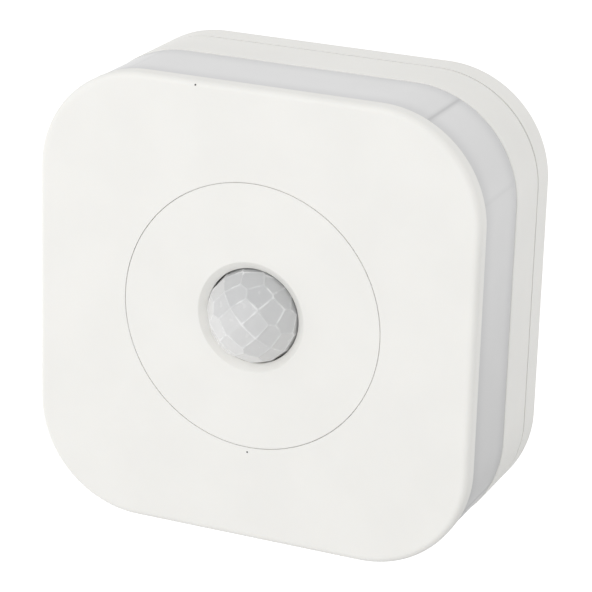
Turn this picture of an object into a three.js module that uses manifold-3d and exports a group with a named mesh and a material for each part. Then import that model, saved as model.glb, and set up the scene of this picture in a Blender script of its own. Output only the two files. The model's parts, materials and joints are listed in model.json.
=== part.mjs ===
// A square wall-mounted motion sensor with a light band round its sides.
// Millimetres. The origin is the centre of the back face, which lies on the wall.
// +X is right and +Z is up for someone facing the wall; the sensor looks along -Y.
import * as THREE from "three";
import { mergeVertices } from "three/addons/utils/BufferGeometryUtils.js";
import Module from "manifold-3d";

const wasm = await Module();
wasm.setup();

// ---- Driving dimensions ----
const HALF_WIDTH = 45; // half of the square front
const CORNER_RADIUS = 21.3; // plan radius of the case corners
const FACE_Y = -38.4; // front face
const FACE_THICKNESS = 2.2;
const COVER_BACK_Y = -35.1; // where the front cover ends and the band starts
const BAND_BACK_Y = -18.4; // where the band ends and the housing starts
const SEAM_Y = -6.6; // middle of the seam between the housing and the wall plate
const SEAM = 0.3; // width of that seam
const GAP = 0.25; // clearance between neighbouring pieces
const REST = 0.3; // clearance between a part and the board that it is soldered to
const FRONT_FILLET = 1.35;
const BACK_FILLET = 0.9;
const WALL = 2; // case wall
const BAND_INSET = 0.24; // how far the band lies under the case sides
const TONGUE = 1.2; // how far the rings lap inside each other
const PAST = 1; // how far a cutter reaches past the face that it opens

const PLATE = { thickness: 2.2, stiffener: { outer: 13, inner: 11.8, height: 1.4 } };
const CLIP = { at: 36, width: 8, thickness: 1.6, frontY: -11, barb: 0.3, clearance: 1.1 };
const SCREW_SLOT = { at: 22, width: 5, length: 9 };
const FLOOR_THICKNESS = 1.8;
const COVER_LEG = { at: 34.6, thickness: 1.4, width: 9, length: 6.2, hook: 0.4 };

const LENS_Z = 0.45; // the lens and its disc stand this much above the middle
const DISC = { radius: 26.4, hole: 9.45, coneWidth: 1.5, coneDepth: 1.1, flange: 2.4, thickness: 3.65 };
const DOME = { radius: 9.3, rise: 9, ringY: -35.3, wall: 0.9, flange: 3, flangeThickness: 1.2 };
const RETAINER = { thickness: 1.45, radius: 13.6, strap: 6, ear: 3, screwAt: 16.5, screwHole: 1.4 };
const RETAINER_SCREW = { headRadius: 1.9, headHeight: 1.2, shankRadius: 0.7, shankLength: 3 };

const BOARD = { half: 33, radius: 10.5, backY: -23, frontY: -24.6 };
const BOSS = { at: 28, radius: 3, bore: 1.35 };
const BOARD_SCREW = { headRadius: 2.4, headHeight: 1.6, shankRadius: 1.05, shankLength: 7 };
const PIR = { standoff: 2.6, topY: -31.6, radius: 4.1, baseRadius: 4.6, baseThickness: 0.6 };
const PIR_WINDOW = { width: 4, height: 3, margin: 0.3 };
const PIR_PIN = { circle: 2.54, radius: 0.24, hole: 0.55 };
const SHROUD = { radius: 6.2, overlap: 1.6 };

const LAMP_BOARD = { step: 0.7, thickness: 1.2, inner: 34.5, tabWidth: 14 };
const LAMP = { along: 14, out: 39.4, width: 3.5, depth: 2.8, height: 1, window: 1.1, windowHeight: 1.5 };
const POST = { at: 33.8, radius: 1.8 };
const HEADER = { z: 31.6, width: 10, depth: 2.2 };
const REFLECTOR = { outer: 37.4, inner: 36, ribAngles: [12, 65], ribThickness: 1.2, ribHeight: 14 };

const CELL = { radius: 5.25, body: 43.5, nub: 1, nubRadius: 1.9, pitch: 11.3, y: -12.7 };
const SPRING = { wire: 0.35, length: 5.8, turns: 4, tip: 2.1, base: 3.3 };
const CONTACT = { side: 8, thickness: 0.4 };
const CRADLE = { length: 30, thickness: 0.5, height: 3 };

const BUTTON = { x: 16, z: -28, radius: 2.4, proud: 0.6, collar: 1.1, collarHeight: 0.9, stem: 1.3 };
const SWITCH = { size: 6, height: 3.8, plunger: 1.7, well: 1.6 };

// ---- Derived places ----
const CORNER_CENTRE = HALF_WIDTH - CORNER_RADIUS;
const INSIDE = HALF_WIDTH - WALL;
const BAND_LAP = INSIDE - REST;
const BAND_INSIDE = BAND_LAP - 1;
const COVER_INSIDE_Y = FACE_Y + FACE_THICKNESS;
const FLOOR_BACK_Y = SEAM_Y - SEAM / 2;
const FLOOR_FRONT_Y = FLOOR_BACK_Y - FLOOR_THICKNESS;
const BAY = { halfX: 26.5, halfZ: 17.3, wall: 1.4, bottomY: CELL.y - CELL.radius - 0.5 };
const LAMP_BOARD_BACK_Y = BAND_BACK_Y - LAMP_BOARD.step;
const LAMP_BOARD_FRONT_Y = LAMP_BOARD_BACK_Y - LAMP_BOARD.thickness;
const DISC_BACK_Y = FACE_Y + DISC.thickness;
const FLANGE_FRONT_Y = DISC_BACK_Y + GAP;
const FLANGE_BACK_Y = FLANGE_FRONT_Y + DOME.flangeThickness;
const RETAINER_FRONT_Y = FLANGE_BACK_Y + GAP;
const RETAINER_BACK_Y = RETAINER_FRONT_Y + RETAINER.thickness;
const PIR_BASE_Y = BOARD.frontY - PIR.standoff;
const SWITCH_BACK_Y = BOARD.backY + SWITCH.height;

// ---- Rounding steps ----
const CORNER_STEPS = 6;
const FILLET_STEPS = 3;
const SLIT_STEPS = 64;
const ROUND_STEPS = 36;
const SMALL_ROUND_STEPS = 12;

// ---- Materials ----
const finish = (color, roughness, metalness = 0) =>
  new THREE.MeshStandardMaterial({ color, roughness, metalness });
const WHITE = finish(0xefeeea, 0.5);
const DIFFUSER = finish(0xd9dadb, 0.45);
const LENS = finish(0xdadcdc, 0.35);
const BOARD_GREEN = finish(0x1f5a38, 0.45);
const STEEL = finish(0xb9bcc0, 0.3, 0.9);
const NICKEL = finish(0xcfcdc6, 0.28, 1);
const BLACK = finish(0x17181a, 0.5);
const CELL_SLEEVE = finish(0x3d4650, 0.35);
const LED_CASE = finish(0xf3efd8, 0.4);

// ---- Solids ----

/** Turns a closed three.js geometry into a solid. */
function solid(geometry) {
  const bare = geometry.clone();
  bare.deleteAttribute("normal");
  bare.deleteAttribute("uv");
  const merged = mergeVertices(bare, 1e-4);
  return new wasm.Manifold(
    new wasm.Mesh({
      numProp: 3,
      vertProperties: merged.getAttribute("position").array,
      triVerts: new Uint32Array(merged.index.array),
    }),
  );
}

/** Turns a solid back into a flat-shaded geometry. */
function geometryOf(made) {
  const mesh = made.getMesh();
  const indexed = new THREE.BufferGeometry();
  indexed.setAttribute("position", new THREE.BufferAttribute(mesh.vertProperties, 3));
  indexed.setIndex(new THREE.BufferAttribute(mesh.triVerts, 1));
  const flat = indexed.toNonIndexed();
  flat.computeVertexNormals();
  return flat;
}

/** Joins solids into one. */
const join = (...solids) => solids.reduce((whole, next) => whole.add(next));

/** Cuts every later solid out of the first. */
const cut = (whole, ...tools) => tools.reduce((rest, tool) => rest.subtract(tool), whole);

/** A named mesh made from a solid. */
function piece(name, made, material) {
  const mesh = new THREE.Mesh(geometryOf(made), material);
  mesh.name = name;
  return mesh;
}

/** The case outline at a given half width: a square whose corners share the case's corner centres. */
function squareOutline(half, radius = half - CORNER_CENTRE) {
  const c = half - radius;
  const shape = new THREE.Shape();
  shape.moveTo(half, c);
  shape.absarc(c, c, radius, 0, Math.PI / 2);
  shape.absarc(-c, c, radius, Math.PI / 2, Math.PI);
  shape.absarc(-c, -c, radius, Math.PI, 1.5 * Math.PI);
  shape.absarc(c, -c, radius, 1.5 * Math.PI, 2 * Math.PI);
  return shape;
}

/** An outline drawn in X and Z, extruded from backY forwards to frontY. */
function slab(shape, backY, frontY) {
  const options = { depth: backY - frontY, bevelEnabled: false, curveSegments: CORNER_STEPS };
  const geometry = new THREE.ExtrudeGeometry(shape, options);
  geometry.rotateX(Math.PI / 2);
  geometry.translate(0, backY, 0);
  return solid(geometry);
}

/** A case ring between two half widths. */
const ring = (outer, inner, backY, frontY) =>
  cut(slab(squareOutline(outer), backY, frontY), slab(squareOutline(inner), backY + 1, frontY - 1));

/** A full case slab with its front edge or its back edge rounded over. */
function filletedSlab(backY, frontY, fillet, atFront) {
  const length = backY - frontY + fillet;
  const geometry = new THREE.ExtrudeGeometry(squareOutline(HALF_WIDTH - fillet), {
    depth: length - 2 * fillet,
    bevelThickness: fillet,
    bevelSize: fillet,
    bevelSegments: FILLET_STEPS,
    curveSegments: CORNER_STEPS,
  });
  geometry.rotateX(Math.PI / 2);
  geometry.translate(0, atFront ? backY : backY - fillet, 0);
  const keep = block(0, 0, 4 * HALF_WIDTH, 4 * HALF_WIDTH, backY, frontY);
  return solid(geometry).intersect(keep);
}

/** A box centred at x and z, from backY forwards to frontY. */
function block(x, z, sizeX, sizeZ, backY, frontY) {
  const geometry = new THREE.BoxGeometry(sizeX, backY - frontY, sizeZ);
  geometry.translate(x, (backY + frontY) / 2, z);
  return solid(geometry);
}

/** A round bar or cone along Y, centred at x and z. */
function rod(x, z, radius, backY, frontY, steps = SMALL_ROUND_STEPS, frontRadius = radius) {
  const geometry = new THREE.CylinderGeometry(radius, frontRadius, backY - frontY, steps);
  geometry.translate(x, (backY + frontY) / 2, z);
  return solid(geometry);
}

/** A solid of revolution about the Y axis; the profile holds [radius, y] pairs, back to front. */
function turned(profile, steps = ROUND_STEPS) {
  const points = profile.map(([radius, y]) => new THREE.Vector2(radius, y));
  return solid(new THREE.LatheGeometry(points.reverse(), steps));
}

/** Calls make(x, z) for the four corners of a square. */
const atCorners = (offset, make) =>
  [[1, 1], [-1, 1], [-1, -1], [1, -1]].map(([sx, sz]) => make(sx * offset, sz * offset));

/** Places a box on each of the four sides of the case, its long side along the case side. */
function onSides(at, thickness, length, backY, frontY) {
  return [
    block(at, 0, thickness, length, backY, frontY),
    block(-at, 0, thickness, length, backY, frontY),
    block(0, at, length, thickness, backY, frontY),
    block(0, -at, length, thickness, backY, frontY),
  ];
}

/** A cross-slotted pan-head screw at the origin: its head faces -Y and its shank points along +Y. */
function screwSolid({ headRadius, headHeight, shankRadius, shankLength }) {
  const rim = headHeight * 0.5;
  const crown = rod(0, 0, headRadius, -rim, -headHeight, SMALL_ROUND_STEPS, headRadius * 0.72);
  const head = rod(0, 0, headRadius, 0, -rim);
  const shank = rod(0, 0, shankRadius * 0.85, shankLength, -rim / 2, SMALL_ROUND_STEPS, shankRadius);
  const slotLength = headRadius * 1.1;
  const slotWidth = headRadius * 0.26;
  return cut(
    join(crown, head, shank),
    block(0, 0, slotLength, slotWidth, -rim, -headHeight - PAST),
    block(0, 0, slotWidth, slotLength, -rim, -headHeight - PAST),
  );
}

// ---- The wall plate ----

/** Cutter for a screw slot at x on the middle line: upright, or level if turned. */
function screwSlot(x, turned) {
  const { width, length } = SCREW_SLOT;
  const reach = (length - width) / 2;
  const [sizeX, sizeZ] = turned ? [2 * reach, width] : [width, 2 * reach];
  const ends = turned ? [[x - reach, 0], [x + reach, 0]] : [[x, -reach], [x, reach]];
  const through = [PAST, -PLATE.thickness - PAST];
  return join(
    block(x, 0, sizeX, sizeZ, ...through),
    ...ends.map(([endX, endZ]) => rod(endX, endZ, width / 2, ...through)),
  );
}

/** The shallow tray that stays on the wall, with four clip arms, a stiffening ring and two screw slots. */
function wallPlate() {
  const { thickness, stiffener } = PLATE;
  const tray = cut(
    filletedSlab(0, SEAM_Y + SEAM / 2, BACK_FILLET, false),
    slab(squareOutline(INSIDE), -thickness, SEAM_Y - PAST),
  );
  const rooted = -thickness / 2; // the ring and the arms start inside the floor
  const barbY = CLIP.frontY + 2 * CLIP.barb;
  const arms = onSides(CLIP.at, CLIP.thickness, CLIP.width, rooted, CLIP.frontY);
  const barbs = onSides(CLIP.at, CLIP.thickness + 2 * CLIP.barb, CLIP.width, barbY + 1, barbY);
  const stiffenerY = -thickness - stiffener.height;
  const ringSolid = cut(
    rod(0, 0, stiffener.outer, rooted, stiffenerY, ROUND_STEPS),
    rod(0, 0, stiffener.inner, -thickness, stiffenerY - PAST, ROUND_STEPS),
  );
  const whole = join(tray, ...arms, ...barbs, ringSolid);
  const slots = [screwSlot(-SCREW_SLOT.at, false), screwSlot(SCREW_SLOT.at, true)];
  return piece("wall_plate", cut(whole, ...slots), WHITE);
}

// ---- The case ----

/** The white ring behind the band, with its floor, battery bay, board bosses and lamp board posts. */
function rearHousing() {
  const wall = ring(HALF_WIDTH, INSIDE, FLOOR_BACK_Y, BAND_BACK_Y);
  const floor = slab(squareOutline(HALF_WIDTH - WALL / 2), FLOOR_BACK_Y, FLOOR_FRONT_Y);
  const lap = INSIDE - GAP;
  const tongue = ring(lap, lap - TONGUE, FLOOR_BACK_Y + 2, FLOOR_BACK_Y - 1);
  const { halfX, halfZ, bottomY } = BAY;
  const bayX = 2 * (halfX + BAY.wall);
  const bayZ = 2 * (halfZ + BAY.wall);
  const bay = block(0, 0, bayX, bayZ, FLOOR_BACK_Y, bottomY - BAY.wall);
  const rooted = FLOOR_BACK_Y - 1;
  const bosses = atCorners(BOSS.at, (x, z) => rod(x, z, BOSS.radius, rooted, BOARD.backY + REST));
  const posts = atCorners(POST.at, (x, z) => rod(x, z, POST.radius, rooted, LAMP_BOARD_BACK_Y + REST));
  const body = join(wall, floor, tongue, bay, ...bosses, ...posts);

  const behind = FLOOR_BACK_Y + 4;
  const before = FLOOR_FRONT_Y - PAST;
  const hollow = block(0, 0, 2 * halfX, 2 * halfZ, FLOOR_BACK_Y + PAST, bottomY);
  const slots = onSides(CLIP.at, CLIP.thickness + CLIP.clearance, CLIP.width + 1, behind, before);
  const bores = atCorners(BOSS.at, (x, z) => rod(x, z, BOSS.bore, before, BOARD.backY - PAST));
  const buttonHole = rod(BUTTON.x, BUTTON.z, BUTTON.radius + REST, behind, before);
  const cradles = [-0.5, 0.5].map((row) =>
    block(0, row * CELL.pitch, CRADLE.length, CRADLE.thickness, bottomY + CRADLE.height, bottomY - 0.5),
  );
  return piece("rear_housing", join(cut(body, hollow, ...slots, ...bores, buttonHole), ...cradles), WHITE);
}

/** The milky ring between the front cover and the housing, with a tongue into each. */
function diffuserBand() {
  const wall = ring(HALF_WIDTH - BAND_INSET, BAND_INSIDE, BAND_BACK_Y - GAP, COVER_BACK_Y + GAP);
  const tongue = ring(BAND_LAP, BAND_INSIDE, BAND_BACK_Y + TONGUE, COVER_BACK_Y - 0.8);
  return piece("diffuser_band", join(wall, tongue), DIFFUSER);
}

/** The front shell with the round mouth for the disc and a clip leg on each side. */
function frontCover() {
  const shell = filletedSlab(COVER_BACK_Y, FACE_Y, FRONT_FILLET, true);
  const behind = COVER_BACK_Y + 2;
  const cavity = slab(squareOutline(INSIDE), behind, COVER_INSIDE_Y);
  const mouth = rod(0, LENS_Z, DISC.radius + GAP / 2, behind, FACE_Y - PAST, SLIT_STEPS);
  const { at, thickness, width, length, hook } = COVER_LEG;
  const tipY = COVER_INSIDE_Y + length;
  const legs = onSides(at, thickness, width, tipY, COVER_INSIDE_Y - 0.5);
  const hooks = onSides(at + hook / 2, thickness + hook, width, tipY - 0.5, tipY - 1.7);
  return piece("front_cover", join(cut(shell, cavity, mouth), ...legs, ...hooks), WHITE);
}

// ---- The lens and its disc ----

/** Calls make(x) for the two screw places beside the lens. */
const besideLens = (make) => [-RETAINER.screwAt, RETAINER.screwAt].map(make);

/** The round disc in the middle of the front, with the cone round the lens hole and two screw pillars. */
function lensDisc() {
  const edge = DISC.radius - GAP / 2;
  const flange = rod(0, LENS_Z, edge + DISC.flange, DISC_BACK_Y, COVER_INSIDE_Y + GAP, ROUND_STEPS);
  const plate = rod(0, LENS_Z, edge, DISC_BACK_Y, FACE_Y, SLIT_STEPS);
  const pillars = besideLens((x) => rod(x, LENS_Z, 2.6, FLANGE_BACK_Y, DISC_BACK_Y - 0.5));
  const bores = besideLens((x) => rod(x, LENS_Z, 0.9, FLANGE_BACK_Y + PAST, DISC_BACK_Y - 1.2));
  const { hole, coneWidth, coneDepth } = DISC;
  const rim = hole + coneWidth * (1 + PAST / coneDepth);
  const cone = rod(0, LENS_Z, hole, FACE_Y + coneDepth, FACE_Y - PAST, ROUND_STEPS, rim);
  const through = rod(0, LENS_Z, hole, DISC_BACK_Y + PAST, FACE_Y - PAST, ROUND_STEPS);
  return piece("lens_disc", cut(join(plate, flange, ...pillars), cone, through, ...bores), WHITE);
}

/** Points along a quarter of an ellipse, from its widest ring to its tip. */
function domeArc(radius, rise, steps) {
  return Array.from({ length: steps + 1 }, (_, i) => {
    const a = (i / steps) * (Math.PI / 2);
    return [i === steps ? 0 : radius * Math.cos(a), DOME.ringY - rise * Math.sin(a)];
  });
}

/** The dome lens: a thin ellipsoid cap on a round flange. */
function lensDome() {
  const { radius, rise, wall, flange } = DOME;
  const profile = [
    ...domeArc(radius - wall, rise - wall, 6).reverse(),
    [radius - wall, FLANGE_BACK_Y],
    [radius + flange, FLANGE_BACK_Y],
    [radius + flange, FLANGE_FRONT_Y],
    [radius, FLANGE_FRONT_Y],
    ...domeArc(radius, rise, 8),
  ];
  return piece("lens_dome", turned(profile, 28).translate([0, 0, LENS_Z]), LENS);
}

/** The frame that two screws press against the dome's flange. */
function lensRetainer() {
  const through = [RETAINER_BACK_Y + PAST, RETAINER_FRONT_Y - PAST];
  const collar = rod(0, LENS_Z, RETAINER.radius, RETAINER_BACK_Y, RETAINER_FRONT_Y, ROUND_STEPS);
  const strap = block(0, LENS_Z, 2 * RETAINER.screwAt, RETAINER.strap, RETAINER_BACK_Y, RETAINER_FRONT_Y);
  const ears = besideLens((x) => rod(x, LENS_Z, RETAINER.ear, RETAINER_BACK_Y, RETAINER_FRONT_Y));
  const holes = besideLens((x) => rod(x, LENS_Z, RETAINER.screwHole, ...through));
  const bore = rod(0, LENS_Z, DOME.radius - 1, ...through, ROUND_STEPS);
  return piece("lens_retainer", cut(join(collar, strap, ...ears), bore, ...holes), WHITE);
}

/** The retainer's screws, turned round so that their heads face the wall. */
function retainerScrews() {
  const made = screwSolid(RETAINER_SCREW);
  return besideLens((x, i) => {
    const mesh = piece(`retainer_screw_${i + 1}`, made, STEEL);
    mesh.position.set(x, RETAINER_BACK_Y + REST, LENS_Z);
    mesh.rotation.x = Math.PI;
    return mesh;
  });
}

// ---- The infrared sensor ----

/** The sensor's three legs, at 90, 180 and 270 degrees round its axis. */
function pirPinPlaces() {
  return [0.5, 1, 1.5].map((half) => {
    const angle = half * Math.PI;
    return [PIR_PIN.circle * Math.cos(angle), LENS_Z + PIR_PIN.circle * Math.sin(angle)];
  });
}

/** The metal can with its window, the white shroud that it stands in, and its legs. */
function pirSensor() {
  const { baseRadius, radius, topY } = PIR;
  const { width, height, margin } = PIR_WINDOW;
  const base = rod(0, LENS_Z, baseRadius, PIR_BASE_Y, PIR_BASE_Y - PIR.baseThickness, 24);
  const can = rod(0, LENS_Z, radius, PIR_BASE_Y, topY, 24);
  const recess = block(0, LENS_Z, width + 2 * margin, height + 2 * margin, topY + 0.7, topY - PAST);
  const window = block(0, LENS_Z, width, height, topY + 0.4, topY + 0.1);
  const tube = rod(0, LENS_Z, SHROUD.radius, BOARD.frontY - REST, PIR_BASE_Y - SHROUD.overlap, 24);
  const bore = rod(0, LENS_Z, baseRadius + REST, PIR_BASE_Y + REST, topY, 24);
  const pinHoles = pirPinPlaces().map(([x, z]) => rod(x, z, PIR_PIN.hole, PIR_BASE_Y + 5, topY, 8));
  const pins = pirPinPlaces().map(([x, z], i) => {
    const made = rod(x, z, PIR_PIN.radius, BOARD.backY + 0.8, PIR_BASE_Y + REST, 8);
    return piece(`pir_pin_${i + 1}`, made, NICKEL);
  });
  return [
    piece("pir_can", cut(join(base, can), recess), NICKEL),
    piece("pir_window", window, BLACK),
    piece("pir_shroud", cut(tube, bore, ...pinHoles), WHITE),
    ...pins,
  ];
}

// ---- The circuit boards ----

/** The main board, with holes for its screws and the sensor's legs. */
function mainBoard() {
  const through = [BOARD.backY + PAST, BOARD.frontY - PAST];
  const sheet = slab(squareOutline(BOARD.half, BOARD.radius), BOARD.backY, BOARD.frontY);
  const holes = atCorners(BOSS.at, (x, z) => rod(x, z, BOSS.bore + 0.15, ...through));
  const pinHoles = pirPinPlaces().map(([x, z]) => rod(x, z, PIR_PIN.hole, ...through, 8));
  return piece("main_board", cut(sheet, ...holes, ...pinHoles), BOARD_GREEN);
}

/** The four screws that hold the main board to its bosses. */
function boardScrews() {
  const made = screwSolid(BOARD_SCREW);
  return atCorners(BOSS.at, (x, z) => [x, BOARD.frontY - REST, z]).map((place, i) => {
    const mesh = piece(`board_screw_${i + 1}`, made, STEEL);
    mesh.position.set(...place);
    return mesh;
  });
}

/** The radio module: a small board with a shield can that has a foot flange. */
function radioModule() {
  const [x, z] = [-18, 6];
  const front = BOARD.frontY - REST;
  const canY = front - 1.4;
  const shield = join(
    block(x, z + 2.5, 15, 17, canY, canY - 2.2),
    block(x, z + 2.5, 15.8, 17.8, canY, canY - 0.3),
  );
  return [
    piece("radio_board", block(x, z, 18, 25, front, front - 1.1), BOARD_GREEN),
    piece("radio_shield", shield, STEEL),
  ];
}

/** The parts soldered to the front of the main board. */
function boardParts() {
  const front = BOARD.frontY - REST;
  const chip = join(
    block(16, 12, 7, 7, front - 0.15, front - 1.2),
    block(16, 12, 5.6, 9, front, front - 0.4),
    block(16, 12, 9, 5.6, front, front - 0.4),
  );
  const choke = join(
    block(18, -9, 8, 8, front, front - 1),
    rod(18, -9, 3.7, front, front - 3.4, 20),
  );
  return [
    ...radioModule(),
    piece("controller_chip", chip, BLACK),
    piece("power_choke", choke, BLACK),
    piece("storage_capacitor", rod(12, -20, 3.1, front, front - 6.6, 24), STEEL),
    piece("crystal_can", block(8, 24, 8, 3, front, front - 2.6), STEEL),
    piece("light_sensor", block(0, -8.2, 2, 1.6, front, front - 0.9), BLACK),
  ];
}

/** The pin header that joins the main board to the lamp board's tab. */
function linkHeader() {
  const { z, width, depth } = HEADER;
  return piece("link_header", block(0, z, width, depth, LAMP_BOARD_FRONT_Y - REST, BOARD.backY + REST), BLACK);
}

// ---- The light band's board, lamps and reflector ----

/** The ring-shaped board behind the band, with a tab for the header. */
function lampBoard() {
  const frame = ring(BAND_INSIDE - REST, LAMP_BOARD.inner, LAMP_BOARD_BACK_Y, LAMP_BOARD_FRONT_Y);
  const tab = block(0, 33, LAMP_BOARD.tabWidth, 5, LAMP_BOARD_BACK_Y, LAMP_BOARD_FRONT_Y);
  return piece("light_board", join(frame, tab), BOARD_GREEN);
}

/** Eight lamps, two along each side of the lamp board. */
function bandLeds() {
  const front = LAMP_BOARD_FRONT_Y - REST;
  const { along, out, width, depth, height, window, windowHeight } = LAMP;
  return Array.from({ length: 8 }, (_, i) => {
    const x = i % 2 ? along : -along;
    const made = join(
      block(x, out, width, depth, front, front - height),
      rod(x, out, window, front, front - windowHeight, SMALL_ROUND_STEPS),
    );
    const side = new THREE.Group();
    side.rotation.y = Math.floor(i / 2) * (Math.PI / 2);
    side.add(piece(`band_led_${i + 1}`, made, LED_CASE));
    return side;
  });
}

/** The white wall inside the lamps, with ribs that reach out to the band at the corners. */
function reflectorFrame() {
  const { outer, inner, ribAngles, ribThickness, ribHeight } = REFLECTOR;
  const wall = ring(outer, inner, LAMP_BOARD_FRONT_Y - REST, COVER_INSIDE_Y + REST);
  const near = outer - 0.7 - CORNER_CENTRE;
  const far = BAND_INSIDE - 2 * REST - CORNER_CENTRE;
  const middleY = (COVER_BACK_Y + BAND_BACK_Y) / 2 - 0.8;
  const ribs = [0, 1, 2, 3].flatMap((corner) =>
    ribAngles.map((angle) => {
      const geometry = new THREE.BoxGeometry(far - near, ribHeight, ribThickness);
      geometry.translate((far + near) / 2, 0, 0);
      geometry.rotateY(-THREE.MathUtils.degToRad(angle));
      geometry.translate(CORNER_CENTRE, middleY, CORNER_CENTRE);
      geometry.rotateY(-corner * (Math.PI / 2));
      return solid(geometry);
    }),
  );
  return piece("reflector_frame", join(wall, ...ribs), WHITE);
}

// ---- The cells and their contacts ----

/** A wire spring whose coils widen towards its base. */
class ConicalHelix extends THREE.Curve {
  constructor({ length, turns, tip, base }) {
    super();
    Object.assign(this, { length, turns, tip, base });
  }

  getPoint(t, target = new THREE.Vector3()) {
    const angle = t * this.turns * 2 * Math.PI;
    const radius = THREE.MathUtils.lerp(this.tip, this.base, t);
    return target.set(-t * this.length, radius * Math.cos(angle), radius * Math.sin(angle));
  }
}

/** A cell standing along Y with its nub at the +Y end. */
function cellSolid() {
  const { radius, body, nub, nubRadius } = CELL;
  const half = (body + nub) / 2;
  const shoulder = half - nub;
  const profile = [
    [0, -half],
    [radius - 0.9, -half],
    [radius, -half + 0.5],
    [radius, shoulder - 0.4],
    [radius - 0.5, shoulder],
    [nubRadius, shoulder],
    [nubRadius, half],
    [0, half],
  ];
  return turned(profile.reverse(), 20);
}

/** A contact spring that starts at the origin and runs along -X. */
function springSolid() {
  const wire = new THREE.Shape();
  wire.absarc(0, 0, SPRING.wire, 0, 2 * Math.PI);
  const options = { steps: 36, curveSegments: 3, extrudePath: new ConicalHelix(SPRING) };
  return solid(new THREE.ExtrudeGeometry(wire, options));
}

/** Three cells side by side, the middle one turned end for end, each with its spring and its plate. */
function batteries() {
  const cell = cellSolid();
  const spring = springSolid();
  const cellLength = CELL.body + CELL.nub;
  const plateX = BAY.halfX - 0.5;
  const cellX = plateX - 0.5 - cellLength / 2;
  const springX = cellX - cellLength / 2 - 0.7;
  return [-1, 0, 1].map((row, i) => {
    const lane = new THREE.Group();
    lane.position.set(0, CELL.y, row * CELL.pitch);
    lane.rotation.y = row === 0 ? Math.PI : 0;
    const body = piece(`battery_cell_${i + 1}`, cell, CELL_SLEEVE);
    body.rotation.z = -Math.PI / 2;
    body.position.x = cellX;
    const coil = piece(`battery_spring_${i + 1}`, spring, NICKEL);
    coil.position.x = springX;
    const plate = new THREE.Mesh(new THREE.BoxGeometry(CONTACT.thickness, CONTACT.side, CONTACT.side), NICKEL);
    plate.name = `battery_plate_${i + 1}`;
    plate.position.x = plateX;
    lane.add(body, coil, plate);
    return lane;
  });
}

// ---- The pairing button ----

/** The switch on the back of the main board, with a well for its plunger. */
function tactSwitch() {
  const { x, z } = BUTTON;
  const body = block(x, z, SWITCH.size, SWITCH.size, SWITCH_BACK_Y, BOARD.backY + REST);
  const well = rod(x, z, SWITCH.plunger + GAP, SWITCH_BACK_Y + PAST, SWITCH_BACK_Y - SWITCH.well);
  return piece("tact_switch", cut(body, well), BLACK);
}

/** The white button in the housing's floor and the plunger that it pushes. */
function pairingButton() {
  const { x, z, radius, proud, collar, collarHeight, stem } = BUTTON;
  const plungerBackY = SWITCH_BACK_Y + 0.6;
  const collarY = FLOOR_FRONT_Y - REST;
  const cap = rod(x, z, radius, FLOOR_BACK_Y - 0.4, FLOOR_FRONT_Y - proud);
  const flange = rod(x, z, radius + collar, collarY, collarY - collarHeight);
  const foot = rod(x, z, stem, FLOOR_FRONT_Y - 1, plungerBackY + REST);
  const plunger = rod(x, z, SWITCH.plunger, plungerBackY, SWITCH_BACK_Y - 0.9);
  return [
    piece("pairing_button", join(cap, flange, foot), WHITE),
    piece("switch_plunger", plunger, BLACK),
  ];
}

// ---- The whole sensor ----

const fixedPlate = new THREE.Group();
fixedPlate.name = "fixed_plate";
fixedPlate.add(wallPlate());

const sensorUnit = new THREE.Group();
sensorUnit.name = "sensor_unit";
sensorUnit.add(
  rearHousing(),
  diffuserBand(),
  frontCover(),
  lensDisc(),
  lensDome(),
  lensRetainer(),
  ...retainerScrews(),
  ...pirSensor(),
  mainBoard(),
  ...boardScrews(),
  ...boardParts(),
  linkHeader(),
  lampBoard(),
  ...bandLeds(),
  reflectorFrame(),
  ...batteries(),
  tactSwitch(),
);

const pressedGroup = new THREE.Group();
pressedGroup.name = "pairing_button_group";
pressedGroup.add(...pairingButton());

const motionSensor = new THREE.Group();
motionSensor.name = "motion_sensor";
motionSensor.add(fixedPlate, sensorUnit, pressedGroup);

export default motionSensor;
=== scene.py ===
"""Looks of a square wall-mounted motion sensor with a light band round its sides.

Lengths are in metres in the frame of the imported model: the wall is the plane y = 0, the sensor looks
along -Y and +Z is up. Each sub-assembly is a class that builds its pieces.
"""
import json
import logging
import math
from dataclasses import dataclass, field
from enum import Enum
from typing import Any, Iterable, Sequence

import bmesh
import bpy
import numpy as np
from mathutils import Matrix, Vector


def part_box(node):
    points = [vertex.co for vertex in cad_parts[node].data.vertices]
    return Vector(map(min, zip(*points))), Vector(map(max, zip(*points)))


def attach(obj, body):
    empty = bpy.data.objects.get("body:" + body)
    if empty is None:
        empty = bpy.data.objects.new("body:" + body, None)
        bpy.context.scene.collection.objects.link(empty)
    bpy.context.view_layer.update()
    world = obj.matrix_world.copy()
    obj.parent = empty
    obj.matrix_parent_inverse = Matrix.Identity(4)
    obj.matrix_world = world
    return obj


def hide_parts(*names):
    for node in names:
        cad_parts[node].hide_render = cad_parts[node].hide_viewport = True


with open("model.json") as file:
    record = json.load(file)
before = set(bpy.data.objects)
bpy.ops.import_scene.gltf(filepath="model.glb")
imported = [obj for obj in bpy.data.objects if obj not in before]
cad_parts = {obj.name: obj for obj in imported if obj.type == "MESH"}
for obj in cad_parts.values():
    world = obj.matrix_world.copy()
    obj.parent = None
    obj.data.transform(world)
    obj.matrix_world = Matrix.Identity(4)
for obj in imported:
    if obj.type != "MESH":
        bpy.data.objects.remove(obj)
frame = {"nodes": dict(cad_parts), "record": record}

LOG = logging.getLogger("motion_sensor")
MM = 0.001
LENS_Z = 0.45 * MM  # height of the lens and its disc above the middle of the front
QUARTER = math.pi / 2
PAST = 1 * MM  # how far a cutter reaches past the face that it cuts
BROKEN_EDGE = 0.12 * MM  # width of a moulding's broken edges
Colour = tuple[float, float, float]
Point = tuple[float, float, float]
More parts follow.
